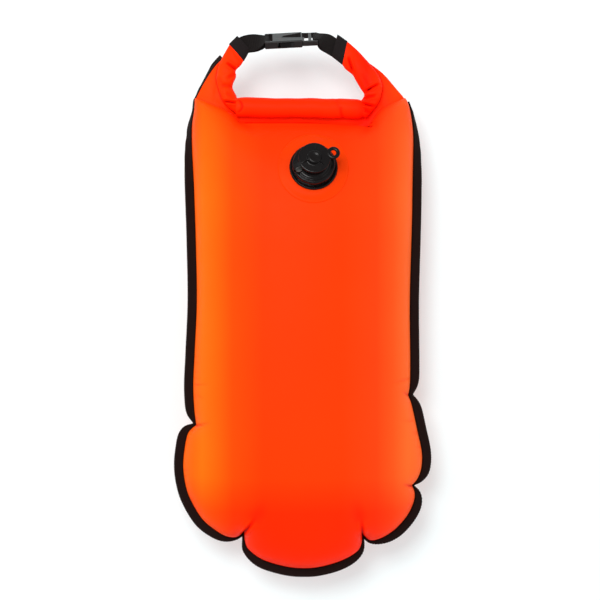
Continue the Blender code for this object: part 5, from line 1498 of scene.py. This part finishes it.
# %% Base, body and cap
NECK_LOW = -0.00755
FLANGE_LOW = 0.0022
FLANGE_TOP = 0.0048
COLLAR_TOP = 0.00688
LID_LOW = 0.00908
SHOULDER_TOP = 0.0153
CROWN_TOP = 0.0303
CAP_LOW = 0.0306
CAP_TOP = 0.0328
SKIRT_RADIUS = 0.0242
AIR_BORE = 0.0095
CAP_RADIUS = 0.0180
GRIPS = 8

base_profile = rounded_profile(
    [(0.0174, COLLAR_TOP), (0.0160, COLLAR_TOP), (0.0160, FLANGE_LOW - 0.0130), (0.0185, FLANGE_LOW - 0.0130),
     (0.0185, FLANGE_LOW), (0.0275, FLANGE_LOW), (0.0277, FLANGE_LOW + 0.0010), (0.0266, FLANGE_TOP),
     (0.0250, FLANGE_TOP - 0.0004), (0.0201, FLANGE_TOP - 0.0004), (0.0201, COLLAR_TOP),
     (0.0174, COLLAR_TOP)],
    0.0005)
turned_piece("valve_flange", base_profile[:-1], "bag", "valve_base", VALVE_PLASTIC, True)


def skirt_grip(angle, radius, height):
    """Eight shallow waves round the skirt, and fine ribs between them, only on its outer wall."""
    outside = smooth_step((radius - 0.0226) / 0.0010)
    wave = 0.00022 * np.cos(GRIPS * angle)
    rib = (0.00014 * np.clip(np.cos(GRIPS * 7 * angle) * 1.6, -1, 1)
           * smooth_step((-np.cos(GRIPS * angle)) * 2))
    upright = smooth_step((height - FLANGE_TOP) / 0.002) * smooth_step((SHOULDER_TOP - height) / 0.002)
    return outside * (wave + rib * upright)


def body_profile():
    """Bore, threaded neck, lid, skirt, shoulder, a stepped crown with its rounded lip, back to the bore."""
    thread = [(0.0156, NECK_LOW)]
    for turn in range(4):
        z = -0.0055 + turn * 0.0030
        thread += [(0.0148, z), (0.0148, z + 0.0007), (0.0156, z + 0.0013), (0.0156, z + 0.0020)]
    outline = [(0.0120, NECK_LOW), *thread, (0.0156, LID_LOW), (0.0210, LID_LOW),
               (0.0210, FLANGE_TOP + 0.0006),
               (SKIRT_RADIUS, FLANGE_TOP + 0.0006), (SKIRT_RADIUS, SHOULDER_TOP - 0.0012),
               (SKIRT_RADIUS - 0.0012, SHOULDER_TOP), (0.0196, SHOULDER_TOP), (0.0190, SHOULDER_TOP + 0.0010),
               (0.0172, SHOULDER_TOP + 0.0014), (0.0160, SHOULDER_TOP + 0.0030),
               (0.0152, SHOULDER_TOP + 0.0075),
               (0.0158, CROWN_TOP - 0.0016), (0.0158, CROWN_TOP), (AIR_BORE, CROWN_TOP), (AIR_BORE, NECK_LOW),
               (0.0120, NECK_LOW)]
    return rounded_profile(outline, 0.0005, 4)[:-1]


turned_piece("valve_screw_body", body_profile(), "valve_screw", "valve_body", VALVE_PLASTIC, True,
             sides=224, grip=skirt_grip)

cap_profile = rounded_profile(
    [(0, CROWN_TOP - 0.0030), (0.0089, CROWN_TOP - 0.0030), (0.0089, CAP_LOW), (CAP_RADIUS, CAP_LOW),
     (CAP_RADIUS, CAP_TOP - 0.0004), (CAP_RADIUS - 0.0010, CAP_TOP), (0.0094, CAP_TOP),
     (0.0082, CAP_TOP + 0.0006),
     (0.0076, CAP_TOP + 0.0030), (0.0058, CAP_TOP + 0.0037), (0.0030, CAP_TOP + 0.0033),
     (0, CAP_TOP + 0.0032)],
    0.0006)
turned_piece("valve_cap_disc", cap_profile, "cap", "valve_cap", VALVE_PLASTIC, False, sides=128)


# %% [markdown]
# On the cap are a boss, ribs that brace it, a pull loop on one side, and opposite the loop a soft strap
# that ends in an eye round a peg. The loop is a small oval carried round a level circle.

# %% Ribs, loop, peg and strap
HINGE_TURN = math.radians(24.0)
HINGE_SIDE = HINGE_TURN + math.pi
LOOP_TURN = math.radians(15.5)
LOOP_OUT = 0.0224
LOOP_RADIUS = 0.0053
LOOP_WIDE = 0.0022
LOOP_HIGH = 0.0014
PEG_OUT = 0.0192
STRAP_THICK = 0.0012
STRAP_ROWS = 44
STRAP_SIDES = 28


def turn_about_axis(points, angle):
    """Points turned round the valve's own axis before they are placed."""
    c = math.cos(angle)
    s = math.sin(angle)
    return np.asarray(points) @ np.array([[c, s, 0], [-s, c, 0], [0, 0, 1]])


def make_rib(number, angle):
    """A low wall from the boss to the cap's edge: a rounded section whose height falls along it."""
    along = np.linspace(0.0070, 0.0158, 16)[:, None]
    section = np.linspace(0, np.pi, 13)[None]
    half = 0.0007
    fall = 0.0026 * (1 - smooth_step((along - 0.0070) / 0.0088)) + 0.0007
    top = CAP_TOP - 0.0004 + np.sin(section) ** 0.6 * fall
    grid = np.dstack(np.broadcast_arrays(along, half * np.cos(section) * (1 + 0 * along), top))
    points = on_valve(turn_about_axis(add_middles(grid), angle))
    faces = capped(*grid.shape[:2])
    new_piece(f"valve_cap_rib_{number}", points, faces, VALVE_PLASTIC, "cap")


for number, turn in enumerate((0, 120, 240)):
    make_rib(number + 1, HINGE_SIDE + math.radians(turn))


def make_pull_loop():
    """A closed ring beside the cap: a small oval carried round a level circle."""
    round_angle = np.linspace(0, 2 * np.pi, 56, endpoint=False)[:, None]
    wire_angle = np.linspace(0, 2 * np.pi, 16, endpoint=False)[None]
    out = LOOP_RADIUS + LOOP_WIDE * np.cos(wire_angle)
    height = CAP_LOW + LOOP_HIGH + LOOP_HIGH * np.sin(wire_angle) + 0 * round_angle
    grid = np.dstack([LOOP_OUT + out * np.cos(round_angle), out * np.sin(round_angle), height])
    points = on_valve(turn_about_axis(grid.reshape(-1, 3), LOOP_TURN))
    new_piece("valve_pull_loop", points, [ring_faces(grid)], VALVE_PLASTIC, "cap")


make_pull_loop()


def beside_hinge(points):
    """Points of something made upright on the axis, moved out to the peg's place on the hinge's side."""
    return on_valve(turn_about_axis(np.asarray(points) + (PEG_OUT, 0, 0), HINGE_SIDE))


peg_low = SHOULDER_TOP + 0.0003
peg_profile = rounded_profile(
    [(0, peg_low), (0.0020, peg_low), (0.0020, peg_low + 0.0023), (0.0044, peg_low + 0.0025),
     (0.0043, peg_low + 0.0038), (0.0026, peg_low + 0.0048), (0, peg_low + 0.0050)], 0.0007, 6)
turned_piece("valve_strap_peg", peg_profile, "valve_screw", "strap_peg", PEG_PAINTED_HIGHLIGHT_PLASTIC, False, sides=40,
             put=beside_hinge)


def make_strap():
    """A flat ribbon whose middle rises from the eye round the peg to the cap's edge, wider at the cap."""
    eye_low = SHOULDER_TOP + 0.0007
    top = CAP_LOW + 0.0011
    start = PEG_OUT + 0.0036
    route = smooth_curve([(start - 0.0008, eye_low + 0.0006), (start + 0.0008, eye_low + 0.0008),
                          (start + 0.0026, eye_low + 0.0030), (start + 0.0030, (eye_low + top) / 2),
                          (start + 0.0016, top - 0.0030), (start - 0.0014, top - 0.0008),
                          (CAP_RADIUS - 0.0006, top)],
                         STRAP_ROWS)
    ahead = unit(np.gradient(route, axis=0))
    normal = np.column_stack([ahead[:, 1], -ahead[:, 0]])
    angle = np.linspace(0, 2 * np.pi, STRAP_SIDES, endpoint=False)
    c, s = oval(angle, 3.5)
    half = np.interp(np.linspace(0, 1, STRAP_ROWS), [0, 0.3, 0.8, 1],
                     [0.0018, 0.0020, 0.0022, 0.0030])[:, None]
    offset = s[None] * STRAP_THICK / 2
    grid = np.dstack([route[:, 0, None] + normal[:, 0, None] * offset, half * c[None],
                      route[:, 1, None] + normal[:, 1, None] * offset])
    return grid


strap = make_strap()
strap_points = on_valve(turn_about_axis(add_middles(strap), HINGE_SIDE))
strap_piece = new_piece("valve_strap", strap_points, capped(*strap.shape[:2]), SEAL_RUBBER, None,
                        replaces=["cap_strap"])
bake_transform(strap_piece)

eye_low, eye_top = peg_low + 0.0002, peg_low + 0.0016
eye_profile = rounded_profile([(0.0036, eye_low), (0.0023, eye_low), (0.0023, eye_top), (0.0042, eye_top),
                               (0.0042, eye_low), (0.0036, eye_low)], 0.0003)
turned_piece("valve_strap_eye", eye_profile[:-1], "valve_screw", None, SEAL_RUBBER, True, sides=36,
             put=beside_hinge)

# %% [markdown]
# ## The weld patch
# Round the valve a disc of the same cloth is welded to the wall. It lies flat on the wall and is a
# shade darker, because two layers lie over each other there, and its rim is pressed into the wall.

# %% The patch
PATCH_RINGS = 26
PATCH_SIDES = 160
PATCH_LIFT = 0.0007


def make_patch():
    """Rings round the valve at the wall's height, with a rim that turns down into the wall."""
    angle = np.linspace(0, 2 * np.pi, PATCH_SIDES, endpoint=False)[None]
    radius = np.linspace(0.0190, PATCH_RADIUS, PATCH_RINGS)[:, None]
    plan = np.dstack([VALVE_XY[0] + radius * np.cos(angle), VALVE_XY[1] + radius * np.sin(angle)])
    height = SEAM_Z + SHEET_RAISE + front_lift(plan.reshape(-1, 2)).reshape(plan.shape[:2])
    edge = smooth_step((PATCH_RADIUS - radius) / 0.0008)
    bead = 0.00025 * np.exp(-((radius - PATCH_RADIUS + 0.0016) / 0.0007) ** 2)
    lift = PATCH_LIFT * edge + bead - 0.0002 * (1 - edge)
    top = np.dstack([plan, height + lift])
    under = np.dstack([plan, height - 0.0004])[::-1]
    return np.vstack([top, under])


def patch_cloth():
    """The wall's cloth seen through a second layer: darker and less saturated, with a glossier skin."""
    finish = Finish("welded patch", (0.74, 0.036, 0.0004), 0.45, Specular_IOR_Level=0.03)
    shade = finish.ramp(finish.noise(30.0, 3.0), "Fac",
                        [(0.3, (0.71, 0.034, 0.0004)), (0.7, (0.78, 0.039, 0.0006))])
    finish.link(shade, "Color", finish.shader, "Base Color")
    finish.bump(finish.noise(160.0, 3.0), "Fac", 0.0001, 0.5)
    return finish.material


patch = make_patch()
new_piece("weld_patch", patch, [ring_faces(patch)], patch_cloth(), "bag",
          replaces=["valve_patch"])
